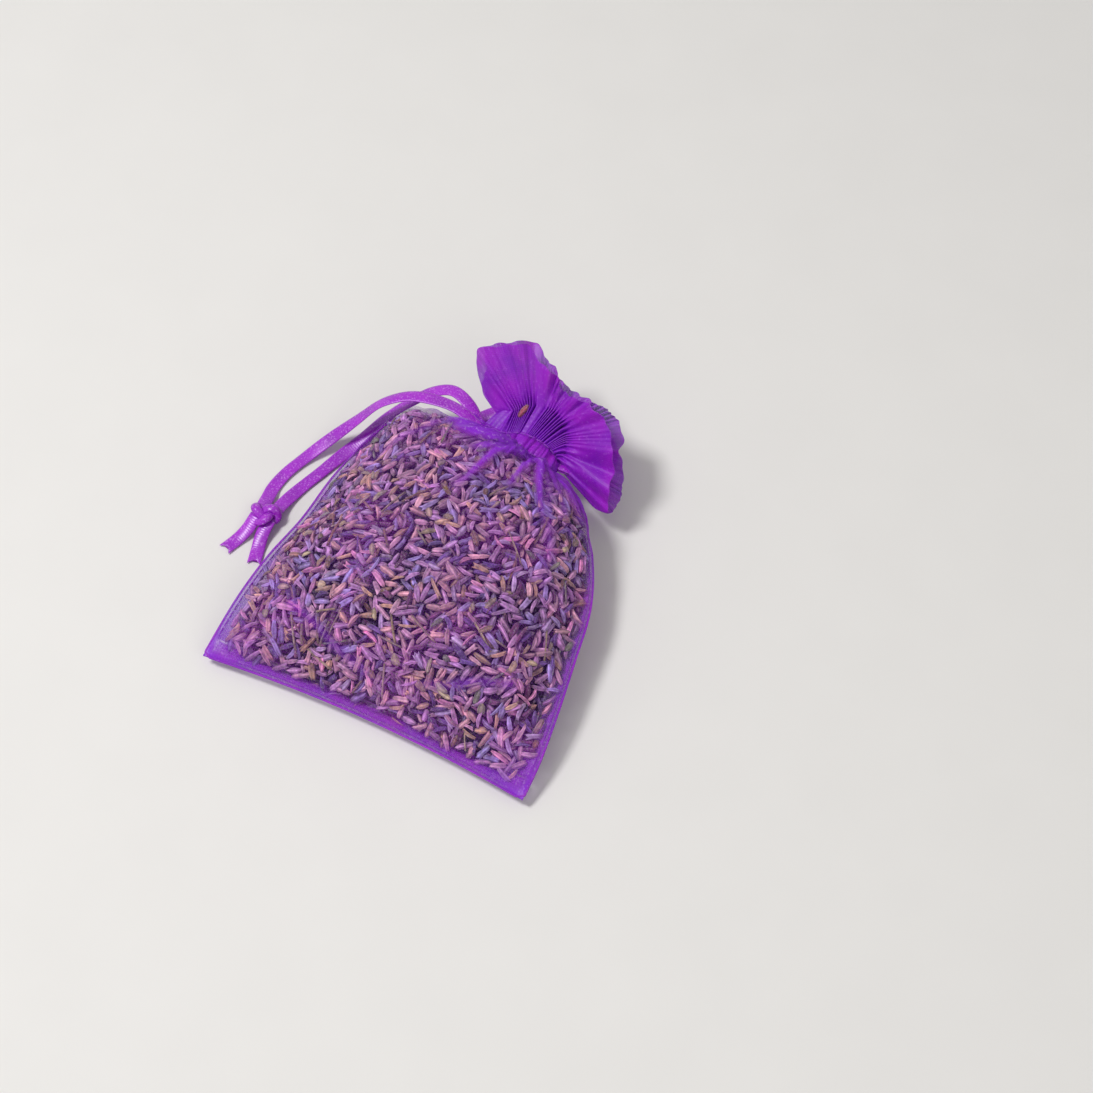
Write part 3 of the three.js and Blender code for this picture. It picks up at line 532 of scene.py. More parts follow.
# Ribbon pulls: each strand is a flat satin ribbon, folded up in the throat and full width outside it
pulls = {
    "width": 3.8, "thick": 0.28, "run": 2.0, "throatPoints": 3, "step": 0.8, "cup": 0.2, "notch": 1.6,
    "sway": (0.14, 0.21, 14), "crease": (0.8, 0.33), "floorGap": 0.05, "stations": 9,
    "knotSize": (3.5, 2.8, 1.25), "knotRibbon": (1.35, 0.85), "knotRib": 0.1, "knotCorners": (150, 14),
    # Routes: x, y, z and, where the ribbon leans, its bank in degrees
    "left": {
        "exit": (-7.0, 38.1), "knot": (-57.2, -4, 3.2), "acrossX": True,
        "front_strand": [
            (4, 38.1, 15.5), (-6.5, 38.1, 15.5), (-8, 38.1, 15.5), (-13.5, 41, 17.5), (-20, 43, 18.8, -6),
            (-28, 42.8, 18.8, -10), (-35.5, 41, 18, -14), (-41.5, 37.6, 15.5, -12), (-47, 33, 10, -8),
            (-52.5, 27.5, 4.4, -4), (-57, 20.5, 1.1), (-59.8, 13, 0.5), (-60.6, 6.5, 0.6), (-59.9, 1.8, 1.7),
            (-59.2, -2.8, 3.2)],
        "back_strand": [
            (4, 38.1, 14.5), (-6.5, 38.1, 14.5), (-8, 38.1, 14.5), (-13, 42, 15.5), (-18.5, 46.5, 17.5, -4),
            (-25, 48.8, 17.5, -8), (-31, 47.4, 15, -10), (-36.5, 43.6, 11, -8), (-41.5, 38.5, 6.6, -6),
            (-45.5, 31.5, 2.4, -2), (-48.8, 24.5, 0.8), (-51.4, 17, 0.5), (-53.8, 9.5, 0.5),
            (-55.1, 2.6, 1.5), (-55.2, -2.8, 3.2)],
        "outer_tail": [(-59.2, -5.2, 3.2), (-59.8, -10, 1.7), (-61, -13.5, 0.6), (-62.6, -18, 0.5)],
        "inner_tail": [(-55.2, -5.2, 3.2), (-55, -10, 1.7), (-54.2, -13.5, 0.6), (-52.8, -18.4, 0.5)],
    },
    "right": {
        "exit": (13.0, 40.5), "knot": (-9.6, 59.5, 3.2), "acrossX": False,
        "front_strand": [
            (2, 40.5, 15.5), (12.5, 40.5, 15.5), (14, 40.5, 15.5), (19, 43.7, 12), (21.2, 48.9, 6.2),
            (21.2, 56.1, 2), (17.6, 62.7, 0.8), (11, 66.7, 0.5), (3.6, 67.5, 0.7), (-2.8, 65.3, 1.7),
            (-7.9, 61.7, 3.2)],
        "back_strand": [
            (2, 40.5, 14.5), (12.5, 40.5, 14.5), (14, 40.5, 14.5), (17.2, 44.4, 9.4), (17, 49.3, 4),
            (15.6, 55.1, 1.4), (11.6, 59.7, 0.7), (6, 61.7, 0.7), (0.2, 60.9, 1.7), (-6.4, 57.9, 3.2)],
        "outer_tail": [(-11.4, 60.7, 3.2), (-15.8, 58.3, 1.7), (-18.8, 55.7, 0.6), (-21, 51.7, 0.5)],
        "inner_tail": [(-9.8, 56.7, 3.2), (-12.4, 52.9, 1.7), (-13.6, 49.5, 0.6), (-13.4, 45.1, 0.5)],
    },
}


def smoothRoute(route, throatPoints):
    rows = np.array([list(p) + [0.0] * (4 - len(p)) for p in route], float)
    run = runAlong(rows[:, :3])
    widths = np.full(len(rows), pulls["width"])
    widths[:throatPoints] = pulls["run"]
    t = np.linspace(0, run[-1], max(10, int(run[-1] / pulls["step"])))
    lines = [through(list(zip(run, rows[:, k])))(t) for k in range(4)]
    return np.stack(lines[:3], -1), lines[3], np.interp(t, run, widths), t


def ribbonPiece(handed, part, throatPoints, notch):
    path, bank, width, run = smoothRoute(pulls[handed][part], throatPoints)
    ahead, side, over = frameAlong(path)
    size, rate, ends = pulls["sway"]
    sway = size * np.sin(run * rate) * ease(run / ends) * ease((run[-1] - run) / ends)
    roll = (np.radians(bank) + sway)[:, None]
    side, over = side * np.cos(roll) + over * np.sin(roll), over * np.cos(roll) - side * np.sin(roll)
    size, rate = pulls["crease"]
    crease = 1 + size * np.sin(run * rate)  # the crown of the ribbon comes and goes along it
    stations = np.linspace(-1, 1, pulls["stations"])
    grid = np.zeros((len(path), len(stations), 3))
    for k, v in enumerate(stations):
        sag = (pulls["cup"] * crease * (0.5 - v * v))[:, None]
        grid[:, k] = path + side * (v * width / 2)[:, None] + over * sag
        grid[-1, k] += ahead[-1] * notch * (abs(v) - 1)  # a fishtail where the ribbon is cut
    lowest = pulls["thick"] / 2 + pulls["floorGap"]
    grid[..., 2] = np.maximum(grid[..., 2], lowest)  # lies on the floor, not in it
    piece = addPiece(handed + part.title().replace("_", ""), *sheetSolid(grid, pulls["thick"]), satinRibbon,
                     "satin_ribbon", [f"{handed}_pull_{part}"],
                     weaveMap(run[:, None], stations * width[:, None] / 2, 2), handed + "_pull")
    return piece, path


def knotPiece(handed):
    # Overhand knot: the ribbon, bunched, on a three-lobed path that passes over and under itself
    turn, corner = [fullTurn(count) for count in pulls["knotCorners"]]
    long, wide, high = pulls["knotSize"]
    path = np.stack([(np.sin(turn) + 2 * np.sin(2 * turn)) / 3 * long,
                     (np.cos(turn) - 2 * np.cos(2 * turn)) / 3 * wide, -np.sin(3 * turn) * high], -1)
    if not pulls[handed]["acrossX"]:
        path = path[:, [1, 0, 2]] * (-1, 1, 1)
    path = path + pulls[handed]["knot"]
    ahead, side, over = frameAlong(path, True)
    half, thick = pulls["knotRibbon"]
    ribs = 1 + pulls["knotRib"] * np.cos(5 * corner)
    grid = np.stack([path + side * math.cos(c) * half * r + over * math.sin(c) * thick * r
                     for c, r in zip(corner, ribs)], 1)
    index = np.arange(turn.size * corner.size).reshape(turn.size, corner.size)
    faces = quads(np.concatenate([index, index[:1]]), True)
    return addPiece(handed + "Knot", grid.reshape(-1, 3), faces, satinRibbon, "satin_ribbon",
                    [handed + "_pull_knot"], weaveMap((turn * 3.4)[:, None], np.cos(corner) * half),
                    handed + "_pull")


for handed in ("left", "right"):
    onCord = [knotPiece(handed)]
    for tail in ("outer_tail", "inner_tail"):
        onCord.append(ribbonPiece(handed, tail, 0, pulls["notch"])[0])
    for strand in ("front_strand", "back_strand"):
        piece, path = ribbonPiece(handed, strand, pulls["throatPoints"], 0.0)

# Dried lavender: each kind of bit is modelled once, then laid under the cloth, clear of the others
lavenderKinds = {
    # Rings from stalk end to mouth: place along the bit, radius. Then mouth, teeth, bend, ribs and flatness
    "closed": ([(0.0, 0.28), (0.1, 0.6), (0.32, 0.92), (0.6, 1.0), (0.84, 0.74), (1.0, 0.36)],
               0.5, 0.05, 0.2, 0.2, 0.92),
    "open": ([(0.0, 0.3), (0.1, 0.62), (0.3, 0.84), (0.6, 0.88), (0.86, 0.98), (1.0, 1.06)],
             0.74, 0.13, 0.12, 0.24, 0.9),
    "shrivelled": ([(0.0, 0.34), (0.14, 0.72), (0.36, 0.86), (0.58, 1.02), (0.8, 0.78), (1.0, 0.5)],
                   0.5, 0.1, 0.5, 0.34, 0.66),
    "stub": ([(0.0, 0.42), (0.14, 0.86), (0.36, 1.08), (0.62, 1.02), (0.84, 0.8), (1.0, 0.6)],
             0.62, 0.08, -0.2, 0.26, 0.85),
    "flake": ([(0.0, 0.2), (0.22, 0.75), (0.5, 1.0), (0.78, 0.8), (1.0, 0.25)], 0.5, 0.06, 0.5, 0.06, 0.2),
    "stem": ([(0.0, 0.9), (0.25, 0.82), (0.5, 1.0), (0.75, 0.86), (1.0, 0.95)], 0.4, 0.0, 0.9, 0.2, 0.9),
}


def turnBit(rings, mouth, teeth, bend, rib, flat):
    # A ring is drawn out along the bit, one section at a time, and its mouth is pushed in
    corners, deep = 8, 0.1
    bpy.ops.object.select_all(action="DESELECT")
    bpy.ops.mesh.primitive_circle_add(vertices=corners, radius=rings[0][1], fill_type="NGON",
                                      location=(0, 0, 0))
    bit = bpy.context.object
    bpy.ops.object.mode_set(mode="EDIT")
    bpy.ops.mesh.select_all(action="SELECT")
    for (z0, r0), (z1, r1) in zip(rings[:-1], rings[1:]):
        bpy.ops.mesh.extrude_region_move(TRANSFORM_OT_translate={"value": (0, 0, z1 - z0)})
        bpy.ops.transform.resize(value=(r1 / r0, r1 / r0, 1), center_override=(0, 0, z1))
    bpy.ops.mesh.extrude_region_move(TRANSFORM_OT_translate={"value": (0, 0, -deep)})
    bpy.ops.transform.resize(value=(mouth, mouth, 1), center_override=(0, 0, 1 - deep))
    bpy.ops.object.mode_set(mode="OBJECT")
    mesh = bit.data
    points = np.array([v.co for v in mesh.vertices])
    faces = [list(p.vertices) for p in mesh.polygons]
    bpy.data.objects.remove(bit)
    bpy.data.meshes.remove(mesh)
    angle = np.arctan2(points[:, 1], points[:, 0])
    groove = np.round(angle / (2 * np.pi / corners)).astype(int) % 2
    inside = np.arange(len(points)) >= len(points) - corners
    long = points[:, 2] + teeth * (0.5 - groove) * (points[:, 2] > 0.99)
    along = long - 0.5
    swell = (1 - rib * groove) * (1 + 0.08 * np.sin(9 * long + 2 * angle))
    bow = bend * 4 * (0.25 - along**2)
    shaped = np.stack([along, points[:, 0] * swell, points[:, 1] * swell * flat + bow], -1)
    # painted shade and highlight: the mouth's inside painted dark, the grooves darker and the ridges
    # lighter; lighter towards the mouth
    shade = np.where(inside, 0.2, 1.15 - 0.6 * groove) * (0.84 + 0.26 * np.clip(long, 0, 1))
    return shaped, faces, np.clip(long, 0, 1), shade


templates = {name: turnBit(*kind) for name, kind in lavenderKinds.items()}
print("lavender bits", {name: len(t[1]) for name, t in templates.items()}, "faces each")

budSorts = ("closed", "closed", "open", "open", "shrivelled", "shrivelled", "stub")
lavender = {
    "margin": 1.5, "neckStop": 87.2, "slack": 0.68, "cover": 0.12, "cell": 2.3, "lowest": 0.12,
    "grain": (0.31, 0.95, 0.05), "stalk": "#9a8468", "pieces": {"front": 3, "back": 2},
    # Layers: kinds, depth, tries, tilt in degrees, length and radius with their spread, and painted shade:
    # the share of its colour kept, lower for deeper layers
    "front": [
        (("stem",), (0.2, 0.5), 42, 3, (8.0, 2.2), (0.36, 0.05), 1.0),
        (("flake",), (0.1, 0.4), 80, 14, (3.6, 0.8), (0.95, 0.2), 1.0),
        (budSorts, (0.0, 0.5), 15000, 13, (4.9, 0.6), (0.95, 0.11), 1.0),
        (budSorts, (0.4, 1.3), 10000, 20, (3.9, 0.5), (0.8, 0.1), 0.5),
        (budSorts, (1.4, 2.6), 9000, 26, (4.8, 0.6), (0.92, 0.1), 0.1),
    ],
    "back": [
        (budSorts, (0.1, 0.5), 11000, 9, (4.9, 0.6), (0.95, 0.11), 1.0),
        (budSorts, (0.9, 1.8), 8000, 18, (4.4, 0.6), (0.88, 0.1), 0.5),
    ],
    "tones": [("#d192d4", 24), ("#e09fca", 18), ("#b292de", 14), ("#eda9c0", 12), ("#dea696", 10),
              ("#c19cd2", 8), ("#76529e", 8), ("#f59ad4", 6), ("#7a4270", 6)],
    "chaff": [("#b09488", 4), ("#a08068", 3), ("#8c8478", 2), ("#c4a888", 2), ("#986a5c", 3)],
}


class Packing:
    # Balls sorted into cells, to test whether a new bit has room
    def __init__(self, cell):
        self.cell, self.bins = cell, {}

    def key(self, p):
        return tuple(int(math.floor(c / self.cell)) for c in p)

    def free(self, balls, radii, slack):
        for p, r in zip(balls, radii):
            for cell in product(*((c - 1, c, c + 1) for c in self.key(p))):
                for q, other in self.bins.get(cell, ()):
                    gap = (p[0] - q[0]) ** 2 + (p[1] - q[1]) ** 2 + (p[2] - q[2]) ** 2
                    if gap < ((r + other) * slack) ** 2:
                        return False
        return True

    def add(self, balls, radii):
        for p, r in zip(balls, radii):
            self.bins.setdefault(self.key(p), []).append((p, r))


def bedSampler(side):
    # Draws places on the bed under one side, with the way out and the room down to the seam's level
    grid = surface[side + "Bed"]
    normal = gridNormals(grid) * (1 if side == "front" else -1)
    room = np.abs(grid[..., 2] - hemLevel(surface["u"], surface["s"]))
    room = 0.8 * room / np.maximum(np.abs(normal[..., 2]), 0.4)
    corner = grid[:-1, :-1]
    wall = np.linalg.norm(np.cross(grid[:-1, 1:] - corner, grid[1:, :-1] - corner), axis=-1)
    wall = wall * (surface["edge"][:-1, :-1] > lavender["margin"])
    wall = wall * (surface["s"][:-1, :-1] < lavender["neckStop"])
    odds = (wall / wall.sum()).ravel()

    def draw(count):
        cells = dice.choice(odds.size, size=count, p=odds)
        i, j = np.unravel_index(cells, wall.shape)
        a, b = dice.random(count)[:, None], dice.random(count)[:, None]

        def blend(field):
            return ((field[i, j] * (1 - a) + field[i + 1, j] * a) * (1 - b)
                    + (field[i, j + 1] * (1 - a) + field[i + 1, j + 1] * a) * b)

        return blend(grid), unit(blend(normal)), blend(room[..., None])[:, 0]

    return draw


clothTree = BVHTree.FromObject(cloth, bpy.context.evaluated_depsgraph_get())


def underCloth(point):
    place = Vector(point) * mm
    near, out, face, gap = clothTree.find_nearest(place)
    return (place - near).dot(out) < 0


def layBits(side, packing):
    laid = []
    draw = bedSampler(side)
    for kinds, (low, high), tries, tilt, lengths, radii, paintedLight in lavender[side]:
        for spot, normal, room in zip(*draw(tries)):
            kind = kinds[int(dice.integers(len(kinds)))]
            long = float(np.clip(dice.normal(*lengths), lengths[0] * 0.7, lengths[0] * 1.4))
            radius = float(np.clip(dice.normal(*radii), radii[0] * 0.7, radii[0] * 1.3))
            lean = math.radians(float(dice.normal(0, tilt))) * min(1, room / 6)
            turn, spin = dice.random(2) * 2 * np.pi
            spin = 0 if kind in ("flake", "stem") else spin
            side1 = unit(np.cross(normal, lavender["grain"]))
            side2 = np.cross(normal, side1)
            level = side1 * math.cos(turn) + side2 * math.sin(turn)
            axis = level * math.cos(lean) + normal * math.sin(lean)
            thick = radius * lavenderKinds[kind][-1]
            depth = thick + lavender["cover"] + abs(math.sin(lean)) * long * 0.42 + low
            depth += dice.random() * (high - low)
            if depth + thick > room - 0.1:
                continue
            centre = spot - normal * depth
            count = max(4, int(long / 1.2))
            reach = 0.36 if count == 4 else 0.45
            steps = np.linspace(-reach, reach, count)
            balls = [tuple(centre + axis * long * k) for k in steps]
            sizes = [thick * (1 - 1.6 * k * k) for k in steps]
            if not packing.free(balls, sizes, lavender["slack"]):
                continue
            if not all(underCloth(centre + axis * long * k) for k in (-0.5, 0.5)):
                continue
            packing.add(balls, sizes)
            across = unit(np.cross(axis, normal))
            rise = np.cross(across, axis)
            across, rise = (across * math.cos(spin) + rise * math.sin(spin),
                            rise * math.cos(spin) - across * math.sin(spin))
            laid.append((kind, paintedLight, (centre, axis, across, rise, long, radius)))
    print("bits", side, len(laid))
    return laid


def placeBit(shape, centre, axis, across, rise, long, radius):
    line = centre + shape[:, :1] * long * axis
    return line + shape[:, 1:2] * radius * across + shape[:, 2:] * radius * rise


def toneOf(kind):
    rows = lavender["chaff" if kind in ("flake", "stem") else "tones"]
    weights = np.array([w for code, w in rows], float)
    tone = np.array(linear(rows[dice.choice(len(rows), p=weights / weights.sum())][0])[:3])
    return tone * dice.uniform(0.66, 1.36) * dice.uniform(0.93, 1.07, 3)


def bitsPiece(name, laid, nodes):
    stalk = np.array(linear(lavender["stalk"])[:3])
    parts, colours = [], []
    for kind, paintedLight, place in laid:
        shape, cells, along, shade = templates[kind]
        points = placeBit(shape, *place)
        points[:, 2] = np.maximum(points[:, 2], lavender["lowest"])  # pressed flat on what the bag lies on
        parts.append((points, cells))
        mix = np.clip(1 - along * 6, 0, 1)[:, None] * 0.6
        # painted shade: the template's dark mouth and grooves, and each layer's darkening
        colour = (toneOf(kind) * (1 - mix) + stalk * mix) * shade[:, None] * paintedLight
        colours.append(np.concatenate([colour, np.ones((len(along), 1))], 1))
    addPiece(name, *joined(parts), budSkin, "dried_lavender", nodes, tone=np.concatenate(colours))


packing = Packing(lavender["cell"])
laid = {side: layBits(side, packing) for side in lavender["pieces"]}
budNodes = [n for n in sorted(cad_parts) if n.startswith("lavender_bud")]
for side, count in lavender["pieces"].items():
    for k in range(count):
        bitsPiece(f"{side}Buds{k + 1}", laid[side][k::count], budNodes)
        budNodes = []  # the first piece stands for all of them

# Packed mass under the buds: the bulk of the filling, lumpy; its near-black tone is painted shade for the
# dark gaps between the buds
mass = {"margin": 5.4, "low": 5.6, "high": 85.4, "frontDepth": 3.0, "backDepth": 2.6,
        "columns": 88, "rows": 84, "lumpSize": 2.2, "lump": 0.9, "tone": "#0a060e"}


def makeMass(spec):
    u, s = np.meshgrid(np.sin(np.linspace(-1, 1, spec["columns"]) * np.pi / 2),
                       np.linspace(spec["low"], spec["high"], spec["rows"]))
    u = u * (1 - spec["margin"] / np.maximum(halfWidth(s), spec["margin"] * 1.2))
    x, y, level = clothX(u, s), clothY(u, s), seamHeight(s)
    top = np.maximum(level + 0.3, frontHeight(u, s) - spec["frontDepth"])
    low = np.minimum(level - 0.3, backHeight(u, s) + spec["backDepth"])
    inner = np.zeros_like(u)
    inner[1:-1, 1:-1] = 1
    walls = []
    for z, seed, limit, gap in ((top, 4.4, np.maximum, 0.2), (low, 6.1, np.minimum, -0.2)):
        z = z + spec["lump"] * noiseField(np.stack([x, y, z], -1), spec["lumpSize"], seed) * inner
        walls.append(np.stack([x, y, limit(z, level + gap)], -1).reshape(-1, 3))
    points = np.concatenate(walls)
    # painted shade: a near-black colour, a little uneven
    tone = np.array(linear(spec["tone"]))[None] * (1 + 0.5 * noiseField(points, 4.0, 8.8))[:, None]
    tone[:, 3] = 1
    core = addPiece("lavenderMass", points, shellFaces(*u.shape), coreSkin, "dried_lavender",
                    ["lavender_fill"], tone=tone)
    print("lavender mass", len(core.data.polygons), "faces")


makeMass(mass)

# Seams: the turned-in allowance inside each edge, the rolled edge itself and a row of stitches
seams = {"from": 0.9, "to": 5.0, "thick": 0.2, "roll": 0.34, "rollSides": 8, "rollTop": 87.9, "stitch": 1.7,
         "pitch": 2.5, "inset": 1.2, "thread": 0.17, "stitchRise": 0.12,
         "wave": [(0.25, 60, 0), (0.3, 23, 0)]}


def edgeLine(side, inset, count=150, stop=83.4):
    # Points a given distance inside the left, right or bottom edge, on the allowance's own height
    if side == "bottom":
        u = np.linspace(-0.985, 0.985, count)
        s = np.full(count, inset)
    else:
        s = np.linspace(1.2, stop, count)
        u = (1 - inset / halfWidth(s)) * (-1 if side == "left" else 1)
    return np.stack([clothX(u, s), clothY(u, s), hemLevel(u, s)], -1)


def seamAllowance(side):
    steps = np.linspace(seams["from"], seams["to"], 6)
    grid = np.stack([edgeLine(side, k) for k in steps])
    wave = sines(np.linspace(0, 1, grid.shape[1]), seams["wave"])
    grid[..., 2] += wave[None] * ((steps - steps[0]) / 3.6)[:, None] * 0.6
    grid = grid[:, 2:-2] if side == "bottom" else grid[:, 8:-4]  # the sides stop above the bottom strip
    points, faces = sheetSolid(grid, seams["thick"])
    addPiece(side + "SeamAllowance", points, faces, sheerOrganza, "gathered_organza",
             [side + "_seam_allowance"], weaveMap(grid[..., 0], grid[..., 1], 2),
             layers=np.full(len(points), 0.45))


def tubeAlong(path, radius, sides):
    ahead, side, over = frameAlong(path)
    grid = np.stack([path + (side * math.cos(t) + over * math.sin(t)) * radius for t in fullTurn(sides)], 1)
    index = np.arange(len(path) * sides).reshape(-1, sides)
    faces = [list(f) for f in quads(index, True)] + [list(index[0]), list(index[-1])]
    return grid.reshape(-1, 3), faces


def rolledEdge():
    # Runs down the left side, along the bottom and up the right side in one line
    left, right = [edgeLine(side, 0, 300, seams["rollTop"]) for side in ("left", "right")]
    path = np.concatenate([left[::-1], edgeLine("bottom", 0)[2:-2], right])
    points, faces = tubeAlong(path, seams["roll"], seams["rollSides"])
    addPiece("rolledEdge", points, faces, denseOrganza, "gathered_organza",
             weave=weaveMap(runAlong(path)[:, None], np.arange(seams["rollSides"]) * 0.2),
             layers=np.full(len(points), 0.15))


def stitchRow(name, path, nodeName):
    run = runAlong(path)
    bow = np.sin(np.linspace(0, np.pi, 7)) * seams["stitchRise"]
    parts = []
    for start in np.arange(0.4, run[-1] - seams["stitch"], seams["pitch"]):
        t = np.linspace(start, start + seams["stitch"], len(bow))
        line = np.stack([np.interp(t, run, path[:, k]) for k in range(3)], -1) + (0, 0, 1) * bow[:, None]
        parts.append(tubeAlong(line, seams["thread"], 6))
    addPiece(name, *joined(parts), sewingThread, "sewing_thread", [nodeName])


for side in ("left", "right", "bottom"):
    seamAllowance(side)
rolledEdge()
for side in ("left", "right", "bottom"):
    line = edgeLine(side, seams["inset"])[10:-10] + (0, 0, 0.25)
    stitchRow(side + "SeamStitches", line, side + "_seam_stitching")
print("seams sewn")

# Neck: the pleated casing that holds the ribbons, its stitching and the ribbon inside it
neck = {
    "x": 3.0, "z": 15.0, "low": 35.9, "high": 42.7, "rx": 8.6, "rz": 7.3, "pleats": 29, "pleat": 0.5,
    "wall": 0.35, "rows": 21, "columns": 384, "slack": 12.0, "slackTurn": 0.32, "slackLift": (2.4, 1.7),
    "ruffle": (0.35, 2.4), "lean": (1.08, 3, 5),
    # Girth on the way up, each row: size, height, width; and where the pleats are quieter
    "girth": [(0.45, 0.5, 0.26), (-0.35, 0.1, 0.07), (-1.2, 0.94, 0.14)], "quiet": (0.3, 0.9, 0.1),
    # Uneven pleats, each row: size, how many times round, where it starts
    "drift": [(0.12, 5, 1), (0.05, 11, 2)], "strength": [(0.35, 4, 0.6), (0.25, 9, 2)],
    # Rows of stitches: height and how far out; they stop short of the slack's open end
    "stitches": {"lower": (0.1, 0.45), "upper": (0.9, -0.35)}, "stitchStop": 0.14,
    # Ribbons inside: half width and half height of the ring, thickness, stations across, each one's y
    "ribbonRing": (6.5, 5.1), "ribbonThick": 0.3, "ribbonAcross": (-0.9, -0.3, 0.3, 0.9),
    "ribbons": {"left": 38.1, "right": 40.5},
}


def neckRing(turn, rx, rz, y):
    height = np.broadcast_to(y, turn.shape)
    return np.stack([neck["x"] + rx * np.cos(turn), height, neck["z"] + rz * np.sin(turn)], -1)


def slackShare(turn):
    return bell(turn % (2 * np.pi), np.pi, neck["slackTurn"])


def casingRing(turn, k, out, share=1.0):
    # One turn of the casing at height k: on the left a slack length stands out along the bag's shoulder
    ring = neckRing(turn, neck["rx"] + out, neck["rz"] + out, lerp(neck["low"], neck["high"], k))
    slack = slackShare(turn) * share
    ring[:, 0] -= neck["slack"] * slack
    ring[:, 1] += neck["slackLift"][0] * k * slack**2
    ruffle, rate = neck["ruffle"]
    ring[:, 2] += neck["slackLift"][1] * slack**2 + ruffle * np.sin(ring[:, 0] * rate + k) * slack
    return ring


def makeCasing(spec):
    turn = fullTurn(spec["columns"])
    pleats = spec["pleats"] * (turn + sines(turn, spec["drift"]))
    strong = 0.7 + sines(turn, spec["strength"])  # some pleats bunch, some lie flat
    lean, often, rate = spec["lean"]
    quiet, *where = spec["quiet"]
    rows = []
    for k in np.linspace(0, 1, spec["rows"]):
        girth = sum(size * bell(k, middle, width) for size, middle, width in spec["girth"])
        shift = lean * np.sin(often * turn + rate * k)  # each pleat leans a little on its way up
        fold = spec["pleat"] * strong * np.cos(pleats + shift) * (1 - quiet * bell(k, *where))
        rows.append(casingRing(turn, k, fold + girth))
    ridge = np.clip(0.4 + 0.3 * strong * np.cos(pleats) + 0.4 * slackShare(turn), 0, 1)
    weave = weaveMap(runAlong(rows[spec["rows"] // 2]), np.linspace(0, 6.6, spec["rows"])[:, None], 2)
    addPiece("drawnCasing", *sheetSolid(np.stack(rows)[::-1], spec["wall"], True), denseOrganza,
             "gathered_organza", ("front_casing", "back_casing", "front_facing", "back_facing"), weave,
             layers=np.tile(ridge, spec["rows"] * 2))


def sewCasing(spec):
    around = np.linspace(np.pi + spec["stitchStop"], 3 * np.pi - spec["stitchStop"], 300)
    for row, (k, out) in spec["stitches"].items():
        ring = casingRing(around, k, out)
        ring[:, 2] += 0.25 * np.sign(np.sin(around)) * slackShare(around)  # outside the slack cloth
        stitchRow(row + "CasingStitches", ring, row + "_casing_stitching")


def threadCasing(spec):
    turn, across = fullTurn(spec["columns"])[::4], np.array(spec["ribbonAcross"])
    for handed, y in spec["ribbons"].items():
        grid = np.stack([neckRing(turn, *spec["ribbonRing"], y + k) for k in across])
        addPiece(handed + "CasingRibbon", *sheetSolid(grid, spec["ribbonThick"], True), satinRibbon,
                 "satin_ribbon", [handed + "_ribbon_run"], weaveMap(turn * 6, across[:, None] * 2, 2))


makeCasing(neck)
sewCasing(neck)
threadCasing(neck)
print("neck drawn up")

# Frill: the cloth above the drawstring, one pleated tube that opens into a fan
frill = {
    "tilt": 40, "rise": 3, "axisY": 42.3, "base": 9.5, "columns": 816, "rows": 60, "neckRows": 14,
    "thick": 0.12, "swing": (-78, 116), "gathers": 34, "gather": (0.25, 1.0, 0.12), "gatherFade": 0.12,
    "backGather": 0.6, "waves": 9, "wave": 1.1, "split": 0.5, "slackBase": (4.0, 14), "slackShare": 0.75,
    "foot": (0.69, 1.1), "footInset": 2.1, "endShare": 0.035,
    # Rim and folds of the fan: swing in degrees, then reach in millimetres or share of the depth
    "rim": [(-78, 13), (-74, 16.5), (-69, 20.5), (-62, 25), (-56, 28.6), (-53, 29.8), (-50, 29.4),
            (-40, 27.8), (-27, 26.8), (-23, 26.2), (-20, 24), (-17, 22.2), (-7, 20.2), (4, 17.6),
            (12, 16.2), (23, 16.8), (35, 19), (54, 22.5), (78, 24.5), (95, 26), (106, 28), (112, 29),
            (116, 25)],
    "fold": [(-78, 0.05), (-62, 0.12), (-43, 0.4), (-15, 0.25), (8, 0.08), (26, 0.5), (55, 0.9), (74, 0.7),
             (95, 0.5), (116, 0.2)],
    "depth": (1.0, 7.5), "backDepth": (1.2, 7.0), "depthReach": 30, "backFolds": 5, "backRim": 0.8,
    # Uneven pleats, waves and rim, each row: size, how many times round, where it starts
    "drift": [(0.8, 7, 1), (0.3, 13, 2), (0.5, 5, 0.4)], "waveDrift": [(0.3, 3, 1)],
    "strength": [(0.3, 11, 2), (0.25, 5, 1.2), (0.2, 17, 0.3)], "ripple": [(0.25, 31, 0)],
    "flatRound": 200, "flatHeight": 30,
}


def frillFrame():
    # Up the frill, out from its face, and the point from which its fan spreads
    tilt = math.radians(frill["tilt"])
    up = np.array([0, math.cos(tilt), math.sin(tilt)])
    out = np.array([0, -math.sin(tilt), math.cos(tilt)])
    return up, out, np.array([neck["x"], frill["axisY"], neck["z"]]) + up * frill["rise"]


